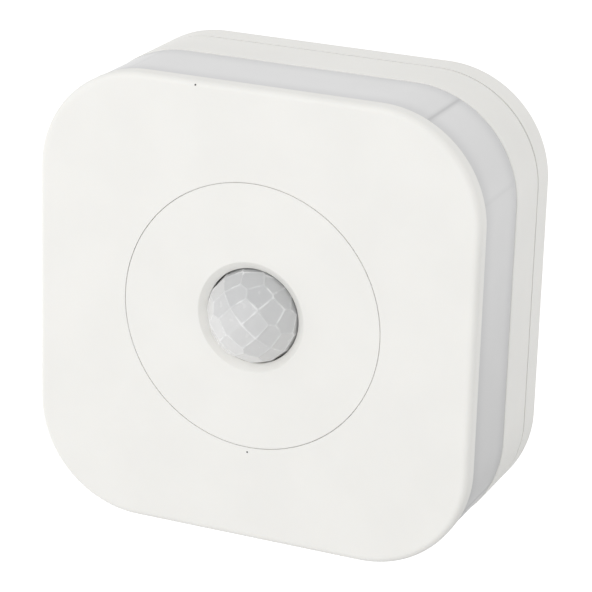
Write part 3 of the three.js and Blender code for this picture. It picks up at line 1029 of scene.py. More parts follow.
@dataclass
class Repeat:
    """A Geometry Nodes tree that sets a small box or rod along a line or round a ring.

    Attributes:
        name: the tree's name.
        along: line or ring.
        item: box or rod.
        material: the material that the tree sets.
        tree: the tree itself, built once.
    """

    name: str
    along: Along
    item: Item
    material: bpy.types.Material
    tree: bpy.types.NodeTree = field(init=False)

    def __post_init__(self) -> None:
        """Builds the tree."""
        self.tree = bpy.data.node_groups.new(self.name, "GeometryNodeTree")
        face = self.tree.interface
        face.new_socket("Geometry", in_out="OUTPUT", socket_type="NodeSocketGeometry")
        for label, kind in (
            ("Count", "NodeSocketInt"),
            ("Start", "NodeSocketVector"),
            ("Pitch", "NodeSocketVector"),
            ("Radius", "NodeSocketFloat"),
            ("Size", "NodeSocketVector"),
        ):
            face.new_socket(label, in_out="INPUT", socket_type=kind)
        source = self._add("NodeGroupInput")
        points = self._line(source) if self.along is Along.LINE else self._ring(source)
        shape = self._shape(source)
        instances = self._add("GeometryNodeInstanceOnPoints")
        self._link(points, "Points", instances, "Points")
        self._link(shape, None, instances, "Instance")
        if self.along is Along.RING:
            self._turn_outwards(instances)
        real = self._add("GeometryNodeRealizeInstances")
        self._link(instances, "Instances", real, "Geometry")
        finish = self._add("GeometryNodeSetMaterial")
        finish.inputs["Material"].default_value = self.material
        self._link(real, "Geometry", finish, "Geometry")
        output = self._add("NodeGroupOutput")
        self._link(finish, "Geometry", output, "Geometry")

    def _add(self, kind: str) -> bpy.types.Node:
        """Adds a node to the tree."""
        return self.tree.nodes.new(kind)

    def _link(self, source: Any, output: str | None, target: bpy.types.Node, key: str) -> None:
        """Links an output, or a ready socket where output is None, to an input."""
        socket = source if output is None else source.outputs.get(output) or source.outputs[0]
        self.tree.links.new(socket, target.inputs[key])

    def _line(self, source: bpy.types.Node) -> bpy.types.Node:
        """Points along a line from Start, one Pitch apart.

        Args:
            source: the group input.

        Returns:
            The node that makes the points.
        """
        line = self._add("GeometryNodeMeshLine")
        line.mode = "OFFSET"
        self._link(source, "Count", line, "Count")
        self._link(source, "Start", line, "Start Location")
        self._link(source, "Pitch", line, "Offset")
        return line

    def _ring(self, source: bpy.types.Node) -> bpy.types.Node:
        """Points round a ring in the XZ plane about Start.

        Args:
            source: the group input.

        Returns:
            The node that makes the points.
        """
        circle = self._add("GeometryNodeMeshCircle")
        self._link(source, "Count", circle, "Vertices")
        self._link(source, "Radius", circle, "Radius")
        place = self._add("GeometryNodeTransform")
        place.inputs["Rotation"].default_value = (QUARTER, 0.0, 0.0)
        self._link(circle, "Mesh", place, "Geometry")
        self._link(source, "Start", place, "Translation")
        return place

    def _shape(self, source: bpy.types.Node) -> bpy.types.NodeSocket:
        """The repeated box or rod of the given Size.

        Args:
            source: the group input.

        Returns:
            The output with the shape.
        """
        if self.item is Item.BOX:
            cube = self._add("GeometryNodeMeshCube")
            self._link(source, "Size", cube, "Size")
            return cube.outputs["Mesh"]
        rod = self._add("GeometryNodeMeshCylinder")
        rod.inputs["Vertices"].default_value = 20
        split = self._add("ShaderNodeSeparateXYZ")
        self._link(source, "Size", split, "Vector")
        self._link(split, "X", rod, "Radius")
        self._link(split, "Y", rod, "Depth")
        lay = self._add("GeometryNodeTransform")
        lay.inputs["Rotation"].default_value = (QUARTER, 0.0, 0.0)
        self._link(rod, "Mesh", lay, "Geometry")
        return lay.outputs["Geometry"]

    def _turn_outwards(self, instances: bpy.types.Node) -> None:
        """Turns each instance about Y so that its X side points away from the ring's middle.

        Args:
            instances: the node that sets the instances.
        """
        number = self._add("GeometryNodeInputIndex")
        count = next(n for n in self.tree.nodes if n.type == "GROUP_INPUT").outputs["Count"]
        share = self._add("ShaderNodeMath")
        share.operation = "DIVIDE"
        self.tree.links.new(number.outputs["Index"], share.inputs[0])
        self.tree.links.new(count, share.inputs[1])
        angle = self._add("ShaderNodeMath")
        angle.operation = "MULTIPLY"
        angle.inputs[1].default_value = -2 * math.pi
        self.tree.links.new(share.outputs[0], angle.inputs[0])
        vector = self._add("ShaderNodeCombineXYZ")
        self.tree.links.new(angle.outputs[0], vector.inputs["Y"])
        self.tree.links.new(vector.outputs["Vector"], instances.inputs["Rotation"])

    def make(self, name: str, **inputs: Any) -> bpy.types.Object:
        """Runs the tree and keeps its result as a plain mesh.

        Args:
            name: the piece's name.
            inputs: values of the tree's named inputs.

        Returns:
            The piece.
        """
        piece = bpy.data.objects.new(name, bpy.data.meshes.new(name))
        bpy.context.scene.collection.objects.link(piece)
        modifier = piece.modifiers.new(self.name, "NODES")
        modifier.node_group = self.tree
        sockets = {s.name: s.identifier for s in self.tree.interface.items_tree if s.in_out == "INPUT"}
        for key, value in inputs.items():
            modifier[sockets[key]] = value
        return evaluated(piece)


# ---------------------------------------------------------------- the case


@dataclass
class Case:
    """Sizes that the case's shells share.

    Attributes:
        wall: wall thickness.
        outline: the case's outline.
    """

    wall: float = 2 * MM
    outline: CaseOutline = field(default_factory=CaseOutline)

    @property
    def half(self) -> float:
        """Half width of the case."""
        return self.outline.half

    @staticmethod
    def span(node: str) -> tuple[float, float]:
        """The depths of a node's back and front."""
        low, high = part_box(node)
        return high.y, low.y


@dataclass
class FrontCover:
    """The white front shell.

    Attributes:
        case: the shared sizes.
        face: thickness of the face.
        fillet: radius of the front edge.
        mouth: radius of the hole for the disc.
        rim_y: the shell's back edge.
        leg_at: distance of a clip leg from the middle.
        leg_width: width of a leg.
        leg_wall: thickness of a leg.
        leg: depth of a leg's middle, and its length.
        barb: the same for the barb at its end.
        barb_reach: how far a barb stands out.
        pit_dot_size: size of the black dots of painted shade that stand for the two pits.
        top_pit_x: place of the pit on the top edge.
        top_pit_lean: how far round the top edge it lies, in degrees.
        low_pit: x and z of the pit under the slit.
        low_pit_sink: how deep that one lies.
    """

    case: Case
    face: float = 2.2 * MM
    fillet: float = 1.2 * MM
    mouth: float = 26.46 * MM
    rim_y: float = -35.1 * MM
    leg_at: float = 34.6 * MM
    leg_width: float = 9 * MM
    leg_wall: float = 1.4 * MM
    leg: tuple[float, float] = (-32.9 * MM, 6.8 * MM)
    barb: tuple[float, float] = (-30.6 * MM, 1.2 * MM)
    barb_reach: float = 0.4 * MM
    pit_dot_size: float = 0.2 * MM
    top_pit_x: float = -12.35 * MM
    top_pit_lean: float = 20.0
    low_pit: tuple[float, float] = (0.05 * MM, -26.95 * MM)
    low_pit_sink: float = 0.02 * MM

    def build(self) -> bpy.types.Object:
        """Builds the shell with its clip legs.

        Returns:
            The shell.
        """
        _, front = Case.span("front_cover")
        half, inside = self.case.half, self.case.half - self.case.wall
        soft, slit_edge = 0.2 * MM, 0.08 * MM
        profile = [
            Corner(half, self.rim_y, soft),
            Corner(half, front, self.fillet),
            Corner(self.mouth, front, slit_edge, Kind.ROUND),
            Corner(self.mouth, front + self.face, 0.0, Kind.ROUND),
            Corner(inside, front + self.face, 0.3 * MM),
            Corner(inside, self.rim_y, 0.15 * MM),
        ]
        shell = lofted("front_cover_shell", self.case.outline, rounded(profile, steps=7))
        return merged("front_cover_shell", [taken(shell), *self._legs()])

    def _legs(self) -> list[bpy.types.Mesh]:
        """The four clip legs, each with its barb.

        Returns:
            Two meshes for each leg.
        """
        legs = []
        for side in range(4):
            for (middle_y, length), reach in ((self.leg, 0.0), (self.barb, self.barb_reach)):
                centre = (0, middle_y, self.leg_at + reach / 2)
                size = (self.leg_width, length, self.leg_wall + reach)
                legs.append(spun(block(centre, size, 0.1 * MM), side))
        return legs

    def pit_shade_dots(self) -> bpy.types.Object:
        """The black dots of painted shade in two tiny pits: one on the top edge, one just under the slit.

        Returns:
            Both dots of painted shade as one piece.
        """
        _, front = Case.span("front_cover")
        lean = math.radians(self.top_pit_lean)
        drop, rise = self.fillet * (1 - math.cos(lean)), self.fillet * (1 - math.sin(lean))
        top = (self.top_pit_x, front + drop, self.case.half - rise)
        low = (self.low_pit[0], front + self.low_pit_sink, self.low_pit[1])
        section = [(self.pit_dot_size * 0.55, 0.16 * MM), (self.pit_dot_size * 0.9, 0.0), (self.pit_dot_size * 0.8, -0.05 * MM)]
        meshes = []
        for place, angle in ((top, -lean), (low, 0.0)):
            pit = turned(section, steps=16)
            pit.transform(Matrix.Translation(place) @ Matrix.Rotation(angle, 4, "X"))
            meshes.append(pit)
        return merged("face_pit_shade_dots", meshes)


@dataclass
class LensDisc:
    """The round disc in the middle of the front, with the cone round the lens hole.

    Attributes:
        radius: its radius.
        groove: depth of the slit round it.
        hole: radius of the lens hole.
        cone: width and depth of the cone.
        step: how far the flange reaches under the cover.
        flange_drop: depth from the disc's front to the flange's.
        back_y: the flange's back.
        pillar_at: distance of each screw pillar from the lens axis.
        pillar: radius and depth of each point of a pillar's section, ending inside its bore.
    """

    radius: float = 26.33 * MM
    groove: float = 0.3 * MM
    hole: float = 9.45 * MM
    cone: tuple[float, float] = (1.5 * MM, 1.1 * MM)
    step: float = 2.4 * MM
    flange_drop: float = 2.45 * MM
    back_y: float = -34.75 * MM
    pillar_at: float = 16.5 * MM
    pillar: tuple[tuple[float, float], ...] = (
        (2.6 * MM, -35.2 * MM),
        (2.6 * MM, -33.45 * MM),
        (2.45 * MM, -33.3 * MM),
        (1.0 * MM, -33.3 * MM),
        (0.9 * MM, -34.2 * MM),
    )

    def build(self) -> bpy.types.Object:
        """Builds the disc with its flange and its two screw pillars.

        Returns:
            The disc.
        """
        _, front = Case.span("lens_disc")
        width, depth = self.cone
        skirt, rim = self.radius + 0.1 * MM, self.radius + self.step
        soft, slit_edge = 0.1 * MM, 0.08 * MM
        profile = [
            Corner(self.radius, front, slit_edge),
            Corner(self.radius, front + self.groove),
            Corner(skirt, front + self.groove),
            Corner(skirt, front + self.flange_drop),
            Corner(rim, front + self.flange_drop, soft),
            Corner(rim, self.back_y, soft),
            Corner(self.hole, self.back_y, soft),
            Corner(self.hole, front + depth, 0.06 * MM),
            Corner(self.hole + width, front, 0.3 * MM),
        ]
        disc = lofted("lens_disc_body", CircleOutline(192, LENS_Z), rounded(profile, steps=5))
        pillars = [turned(self.pillar, x, LENS_Z, 32) for x in (-self.pillar_at, self.pillar_at)]
        return merged("lens_disc_body", [taken(disc), *pillars])


@dataclass(frozen=True)
class FacetRow:
    """A row of lens facets at one latitude of the dome.

    Attributes:
        latitude: degrees from the dome's middle row.
        first: longitude of the first facet.
        step: degrees between facets.
        count: number of facets.
        wide: index of a facet that takes two places, or -1.
    """

    latitude: float
    first: float
    step: float
    count: int
    wide: int = -1

    def seeds(self) -> list[tuple[np.ndarray, int]]:
        """The middle direction of each facet with its number in the row; a wide facet has two.

        Returns:
            A direction and a facet number for each place in the row.
        """
        made = []
        lat = math.radians(self.latitude)
        for i in range(self.count):
            lon = math.radians(self.first + i * self.step)
            outwards = math.cos(lat)
            direction = np.array([math.sin(lon) * outwards, math.sin(lat), math.cos(lon) * outwards])
            facet = self.wide if self.wide >= 0 and i == self.wide + 1 else i
            made.append((direction, facet))
        return made


@dataclass
class LensDome:
    """The dome lens: an ellipsoid of flat facets between raised ridges, on a round flange.

    Attributes:
        radius: radius of its widest ring.
        rise: height from that ring to the tip.
        ring_y: depth of that ring.
        wall: its thickness.
        flange_y: the flange's front and back.
        flange_width: how far the flange stands out.
        turn: how far the rows are turned about the lens axis, in degrees.
        flatness: 0 for a smooth dome, 1 for flat facets.
        bead: height of a ridge.
        bead_width: its half width as an angle in radians.
        start: where the facets start above the ring, and over what height they grow, in shares of the rise.
        base: how far the facets' middles lie from the dome's middle, as a share of its size.
        tone: a facet's mean tone; how it changes across and along the rows, which is painted shade that
            darkens the facets towards the upper right and lightens them towards the lower left; and how it
            changes by chance.
        round_steps: steps round the axis.
        arc_steps: steps from the tip to the ring.
        rows: the rows of facets.
    """

    radius: float = 9.38 * MM
    rise: float = 8.95 * MM
    ring_y: float = -35.3 * MM
    wall: float = 0.9 * MM
    flange_y: tuple[float, float] = (-34.5 * MM, -33.3 * MM)
    flange_width: float = 3 * MM
    turn: float = 45.0
    flatness: float = 0.7
    bead: float = 0.009
    bead_width: float = 0.017
    start: tuple[float, float] = (0.03, 0.12)
    base: float = 0.987
    tone: tuple[float, float, float, float] = (0.42, 0.25, -0.5, 0.16)
    round_steps: int = 480
    arc_steps: int = 150
    rows: tuple[FacetRow, ...] = (
        FacetRow(69.5, -84.0, 52.0, 4),
        FacetRow(42.3, -82.0, 32.8, 6),
        FacetRow(18.3, -80.0, 23.1, 8),
        FacetRow(-4.8, -80.0, 23.1, 8, wide=3),
        FacetRow(-29.6, -80.6, 31.7, 6),
        FacetRow(-51.0, -47.8, 32.4, 4),
        FacetRow(-75.0, -60.0, 60.0, 3),
    )

    def pattern(self, directions: np.ndarray) -> tuple[np.ndarray, np.ndarray, np.ndarray]:
        """The facet pattern over directions from the middle of the dome's ring.

        Args:
            directions: unit vectors, across the rows, along them and outwards.

        Returns:
            The radius factor, the ridge weight and a tone for each facet, which holds painted shade.
        """
        row_stride = 100
        seeds, owners = [], []
        for r, row in enumerate(self.rows):
            for direction, facet in row.seeds():
                seeds.append(direction)
                owners.append(row_stride * r + facet)
        angles = np.arccos(np.clip(directions @ np.array(seeds).T, -1, 1))
        owner = np.array(owners)
        nearest = angles.argmin(1)
        near = angles.min(1)
        others = np.where(owner[None, :] == owner[nearest][:, None], np.inf, angles)
        border = (others.min(1) - near) / 2
        widest = 0.6
        flat = self.flatness * (1 / np.cos(np.clip(near, 0, widest)) - 1)
        ridge = np.exp(-((border / self.bead_width) ** 2))
        centres = np.array([np.mean([s for s, o in zip(seeds, owners) if o == mine], 0) for mine in owners])
        chance = np.random.default_rng(7).random(len(owners)) - 0.5
        mean, across, along, spread = self.tone
        # painted shade: the across and along terms darken the facets towards the upper right; the chance
        # term is their own random spread
        tones = mean + across * centres[:, 0] + along * centres[:, 1] + spread * chance
        return self.base + flat + self.bead * ridge, ridge, np.clip(tones, 0, 1)[nearest]

    def build(self) -> bpy.types.Object:
        """Builds the dome, its neck and its flange as one closed shell.

        Returns:
            The dome.
        """
        front, back = self.flange_y
        reach, inside = self.radius + self.flange_width, self.radius - self.wall
        tip_gap, pole_gap = 0.004, 0.01
        arc = np.linspace(tip_gap, QUARTER, self.arc_steps)
        outer = [(self.radius * math.sin(a), self.ring_y - self.rise * math.cos(a)) for a in arc]
        neck = [(self.radius, front), (reach, front), (reach, back), (inside, back)]
        inner = [
            (inside * math.cos(a), self.ring_y - (self.rise - self.wall) * math.sin(a))
            for a in np.linspace(0, QUARTER - pole_gap, 22)
        ]
        stations = [Corner(s, y, 0.0, Kind.ROUND) for s, y in [*outer, *neck, *inner]]
        dome = lofted("lens_dome_facets", CircleOutline(self.round_steps, LENS_Z), stations, closed=False)
        self._shape(dome.data, len(outer) * self.round_steps)
        return dome

    def _shape(self, mesh: bpy.types.Mesh, shaped: int) -> None:
        """Moves the outside's points onto the facets and stores the ridge and tone attributes.

        Args:
            mesh: the smooth dome.
            shaped: how many of its first points belong to the outside.
        """
        points = np.zeros(len(mesh.vertices) * 3)
        mesh.vertices.foreach_get("co", points)
        points = points.reshape(-1, 3)
        turn = math.radians(self.turn)
        across = np.array([math.cos(turn), 0, -math.sin(turn)])
        along = np.array([math.sin(turn), 0, math.cos(turn)])
        out = np.array([0, -1, 0])
        centre = np.array([0, self.ring_y, LENS_Z])
        local = points - centre
        parts = (local @ across / self.radius, local @ along / self.radius, local @ out / self.rise)
        coords = np.stack(parts, 1)
        length = np.linalg.norm(coords, axis=1)
        outside = (np.abs(length - 1) < 1e-3) & (np.arange(len(points)) < shaped)
        factor, ridge, tone = self.pattern(coords / length[:, None])
        start, growth = self.start
        fade = np.clip((coords[:, 2] - start) / growth, 0, 1) * outside
        scale = 1 + (factor - 1) * fade
        moved = centre + local * scale[:, None]
        shaped_points = np.where(outside[:, None], moved, points)
        mesh.vertices.foreach_set("co", shaped_points.astype(np.float32).ravel())
        store(mesh, "ridge", (ridge * fade).astype(np.float32))
        store(mesh, "tone", (tone * fade).astype(np.float32))
        mesh.update()


@dataclass
class LightBand:
    """The milky ring between the front cover and the housing.

    Attributes:
        case: the shared sizes.
        inset: how far it lies under the case sides.
        lap: half width where the tongues start.
        inside: half width of its inner side.
        back_y: the milky ring's back edge.
        front_y: its front edge.
        rib_angles: where the reflector's ribs stand behind it in each corner, in degrees.
        rib_depths: how strongly each shows.
        rib_width: half width of a rib's shadow.
    """

    case: Case
    inset: float = 0.17 * MM
    lap: float = 42.7 * MM
    inside: float = 41.7 * MM
    back_y: float = -18.43 * MM
    front_y: float = -34.88 * MM
    rib_angles: tuple[float, float] = (13.0, 65.0)
    rib_depths: tuple[float, float] = (0.16, 0.8)
    rib_width: float = 0.4 * MM

    def build(self) -> bpy.types.Object:
        """Builds the ring with its tongues and stores where the ribs stand.

        Returns:
            The ring.
        """
        outside = self.case.half - self.inset
        back, front = Case.span("diffuser_band")
        edge = 0.12 * MM
        profile = [
            Corner(outside, self.front_y, edge),
            Corner(outside, self.back_y, edge),
            Corner(self.lap, self.back_y),
            Corner(self.lap, back),
            Corner(self.inside, back),
            Corner(self.inside, front),
            Corner(self.lap, front),
            Corner(self.lap, self.front_y),
        ]
        outline = CaseOutline(arc_steps=72, side_steps=24)
        ring = lofted("diffuser_ring", outline, rounded(profile, steps=4))
        self._mark(ring.data)
        return ring

    def _mark(self, mesh: bpy.types.Mesh) -> None:
        """Stores the rib shadows and the lit corner bays as attributes.

        Args:
            mesh: the ring.
        """
        centre = self.case.half - self.case.outline.corner
        ribs, bays = [], []
        for vertex in mesh.vertices:
            x, z = vertex.co.x, vertex.co.z
            while not (x > 0 and z >= 0):
                x, z = z, -x
            rib = bay = 0.0
            if x > centre and z > centre:
                angle = math.degrees(math.atan2(z - centre, x - centre))
                radius = math.hypot(z - centre, x - centre)
                for at, depth in zip(self.rib_angles, self.rib_depths):
                    away = math.radians(angle - at) * radius
                    rib = max(rib, depth * math.exp(-((away / self.rib_width) ** 2)))
                low, high = self.rib_angles
                bay = float(low < angle < high)
            ribs.append(rib)
            bays.append(bay)
        store(mesh, "rib", ribs)
        store(mesh, "bay", bays)


@dataclass
class RearHousing:
    """The white ring behind the band with its floor, battery bay, bosses and posts.

    Attributes:
        case: the shared sizes.
        seam_y: its back edge at the seam.
        front_y: its front edge under the band.
        floor: thickness of its floor.
        bay_half: half length and half height of the battery bay.
        bay_bottom_y: the bay's bottom.
        bay_wall: thickness of its walls.
        boss_at: x and z of the board's bosses.
        boss: radius of a boss, and depth of its top.
        bore: radius of a boss's bore, and the depths of its ends.
        post_at: x and z of the light board's posts.
        post: radius of a post, and depth of its top.
        clip_at: distance of the clip slots from the middle.
        clip_slot: length and width of a clip slot.
        button_at: x and z of the button.
        button_hole: radius of the button's hole.
        button_recess: radius of the recess round it, at its mouth and at its bottom.
    """

    case: Case
    seam_y: float = -6.86 * MM
    front_y: float = -18.4 * MM
    floor: float = 1.8 * MM
    bay_half: tuple[float, float] = (26.5 * MM, 17.3 * MM)
    bay_bottom_y: float = -18.45 * MM
    bay_wall: float = 1.4 * MM
    boss_at: float = 28 * MM
    boss: tuple[float, float] = (3 * MM, -22.7 * MM)
    bore: tuple[float, float, float] = (1.35 * MM, -9.6 * MM, -24 * MM)
    post_at: float = 33.8 * MM
    post: tuple[float, float] = (1.8 * MM, -18.8 * MM)
    clip_at: float = 36 * MM
    clip_slot: tuple[float, float] = (9 * MM, 2.7 * MM)
    button_at: tuple[float, float] = (16 * MM, -28 * MM)
    button_hole: float = 2.7 * MM
    button_recess: tuple[float, float] = (3.9 * MM, 3.5 * MM)

    def build(self) -> bpy.types.Object:
        """Builds the housing.

        Returns:
            The housing.
        """
        half, inside = self.case.half, self.case.half - self.case.wall
        tongue_back, _ = Case.span("rear_housing")
        floor_y = self.seam_y - self.floor
        lap = inside - 0.25 * MM
        tongue = lap - 1.2 * MM
        middle = 6 * MM
        soft = 0.2 * MM
        profile = [
            Corner(middle, floor_y, 0.0, Kind.ROUND),
            Corner(inside, floor_y, 0.3 * MM),
            Corner(inside, self.front_y, 0.1 * MM),
            Corner(half, self.front_y, 0.24 * MM),
            Corner(half, self.seam_y, 0.05 * MM),
            Corner(lap, self.seam_y),
            Corner(lap, tongue_back, soft),
            Corner(tongue, tongue_back, soft),
            Corner(tongue, self.seam_y, 0.1 * MM),
            Corner(middle, self.seam_y, 0.0, Kind.ROUND),
        ]
        base = lofted("rear_housing_shell", self.case.outline, rounded(profile, closed=False), closed=False)
        return carved(base, self._added(), self._cut(), BROKEN_EDGE)

    def _added(self) -> list[bpy.types.Mesh]:
        """The bay's box, the board bosses and the light board's posts.

        Returns:
            The meshes to join on.
        """
        half_x, half_z = self.bay_half
        wall = self.bay_wall
        back, front = self.seam_y - 0.4 * MM, self.bay_bottom_y - wall
        box = block((0, (back + front) / 2, 0), (2 * (half_x + wall), back - front, 2 * (half_z + wall)))
        bosses = [self._post(x, z, *self.boss) for x, z in self._corners(self.boss_at)]
        posts = [self._post(x, z, *self.post) for x, z in self._corners(self.post_at)]
        return [box, *bosses, *posts]

    def _post(self, x: float, z: float, radius: float, top: float) -> bpy.types.Mesh:
        """A round post that stands on the floor and reaches forwards to top.

        Args:
            x: the post's place.
            z: the post's place.
            radius: its radius.
            top: depth of its top.

        Returns:
            The mesh.
        """
        foot = self.seam_y - 1 * MM
        soft = 0.2 * MM
        return turned([(radius, foot), (radius, top + soft), (radius - soft, top)], x, z, 32)

    @staticmethod
    def _corners(offset: float) -> list[tuple[float, float]]:
        """The four corners of a square."""
        return [(sx * offset, sz * offset) for sx, sz in ((1, 1), (-1, 1), (-1, -1), (1, -1))]

    def _cut(self) -> list[bpy.types.Mesh]:
        """The bay's hollow, the clip slots, the bores and the button's hole.

        Returns:
            The meshes to cut out.
        """
        half_x, half_z = self.bay_half
        back = self.seam_y + 2.5 * MM
        bottom = self.bay_bottom_y
        hollow = block((0, (back + bottom) / 2, 0), (2 * half_x, back - bottom, 2 * half_z))
        front = self.seam_y - self.floor - PAST
        length, width = self.clip_slot
        centre, size = (0, (back + front) / 2, self.clip_at), (length, back - front, width)
        slots = [spun(block(centre, size), side) for side in range(4)]
        radius, *ends = self.bore
        section = [(radius, y) for y in ends]
        bores = [turned(section, x, z, 32) for x, z in self._corners(self.boss_at)]
        mouth, foot = self.button_recess
        cup = [(mouth, back), (mouth, self.seam_y - 0.35 * MM), (foot, self.seam_y - 0.6 * MM)]
        recess = turned(cup, *self.button_at, 48)
        hole = turned([(self.button_hole, back), (self.button_hole, front)], *self.button_at, 48)
        return [hollow, *slots, *bores, recess, hole]


@dataclass
class WallPlate:
    """The white plate that stays on the wall, with its screw slots and clip arms.

    Attributes:
        case: the shared sizes.
        floor: thickness of its back.
        rim_y: its front edge at the seam.
        slot_at: distance of each screw slot from the middle.
        slot_size: width and length of a slot.
        sink_size: width and length of the countersink round it.
        sink_depth: depth of the countersink.
        clip_at: distance of a clip arm from the middle.
        clip_size: width and thickness of an arm, and the depth of its tip.
        barb: distance of a barb's middle from the tip, its length, and how much thicker than the arm it is.
        ring: inner and outer radius of the stiffening ring.
        ring_rise: how far the ring stands above the floor.
    """

    case: Case
    floor: float = 2.2 * MM
    rim_y: float = -6.36 * MM
    slot_at: float = 22 * MM
    slot_size: tuple[float, float] = (5 * MM, 9 * MM)
    sink_size: tuple[float, float] = (8 * MM, 12 * MM)
    sink_depth: float = 0.5 * MM
    clip_at: float = 36 * MM
    clip_size: tuple[float, float, float] = (8 * MM, 1.6 * MM, -11 * MM)
    barb: tuple[float, float, float] = (1.1 * MM, 1 * MM, 0.6 * MM)
    ring: tuple[float, float] = (11.8 * MM, 13 * MM)
    ring_rise: float = 1.4 * MM

    def build(self) -> bpy.types.Object:
        """Builds the tray with its slots, arms and stiffening ring.

        Returns:
            The plate.
        """
        half, inside = self.case.half, self.case.half - self.case.wall
        middle = 6 * MM
        profile = [
            Corner(middle, 0.0, 0.0, Kind.ROUND),
            Corner(half, 0.0, 0.9 * MM),
            Corner(half, self.rim_y, 0.1 * MM),
            Corner(inside, self.rim_y, 0.2 * MM),
            Corner(inside, -self.floor, 0.5 * MM),
            Corner(middle, -self.floor, 0.0, Kind.ROUND),
        ]
        base = lofted("wall_plate_tray", self.case.outline, rounded(profile, closed=False), closed=False)
        return carved(base, self._added(), self._cut(), BROKEN_EDGE)

    def _added(self) -> list[bpy.types.Mesh]:
        """The clip arms with their barbs and the stiffening ring.

        Returns:
            The meshes to join on.
        """
        width, thick, tip = self.clip_size
        behind, length, proud = self.barb
        foot = -1 * MM
        made = []
        for side in range(4):
            arm = block((0, (foot + tip) / 2, self.clip_at), (width, foot - tip, thick))
            barb = block((0, tip + behind, self.clip_at), (width, length, thick + proud))
            made += [spun(arm, side), spun(barb, side)]
        return [*made, self._stiffener()]

    def _stiffener(self) -> bpy.types.Mesh:
        """The stiffening ring, with a rectangular section that starts inside the floor.

        Returns:
            The mesh.
        """
        inner, outer = self.ring
        foot, top = -1.2 * MM, -self.floor - self.ring_rise
        section = ((outer, foot), (outer, top), (inner, top), (inner, foot))
        stations = [Corner(radius, y, 0.0, Kind.ROUND) for radius, y in section]
        return taken(lofted("stiffener", CircleOutline(96), stations))

    def _cut(self) -> list[bpy.types.Mesh]:
        """An upright slot on the left and a level one on the right, each with a countersink.

        Returns:
            The meshes to cut out.
        """
        front = -self.floor - PAST
        shank = (self.slot_size, PAST)
        sink = (self.sink_size, -self.floor + self.sink_depth)
        made = []
        for x, level in ((-self.slot_at, False), (self.slot_at, True)):
            for size, back in (shank, sink):
                made.append(self._slot(x, level, size, back, front))
        return made

    @staticmethod
    def _slot(
        x: float, level: bool, size: tuple[float, float], back: float, front: float
    ) -> bpy.types.Mesh:
        """A prism with round ends.

        Args:
            x: its middle.
            level: whether it lies level rather than upright.
            size: its width and length.
            back: depth of its back.
            front: depth of its front.

        Returns:
            The mesh.
        """
        width, length = size
        reach = (length - width) / 2
        steps = 48
        points = []
        for step in range(steps):
            angle = 2 * math.pi * (step + 0.5) / steps
            side = math.copysign(reach, math.sin(angle))
            px, pz = width / 2 * math.cos(angle), width / 2 * math.sin(angle) + side
            points.append((x + pz, px) if level else (x + px, pz))
        verts = [(px, y, pz) for y in (back, front) for px, pz in points]
        faces = [*strip(0, steps, steps), tuple(range(steps)), tuple(range(steps, 2 * steps))]
        mesh = bpy.data.meshes.new("slot")
        mesh.from_pydata(verts, [], faces)
        return mesh


# ---------------------------------------------------------------- what is inside


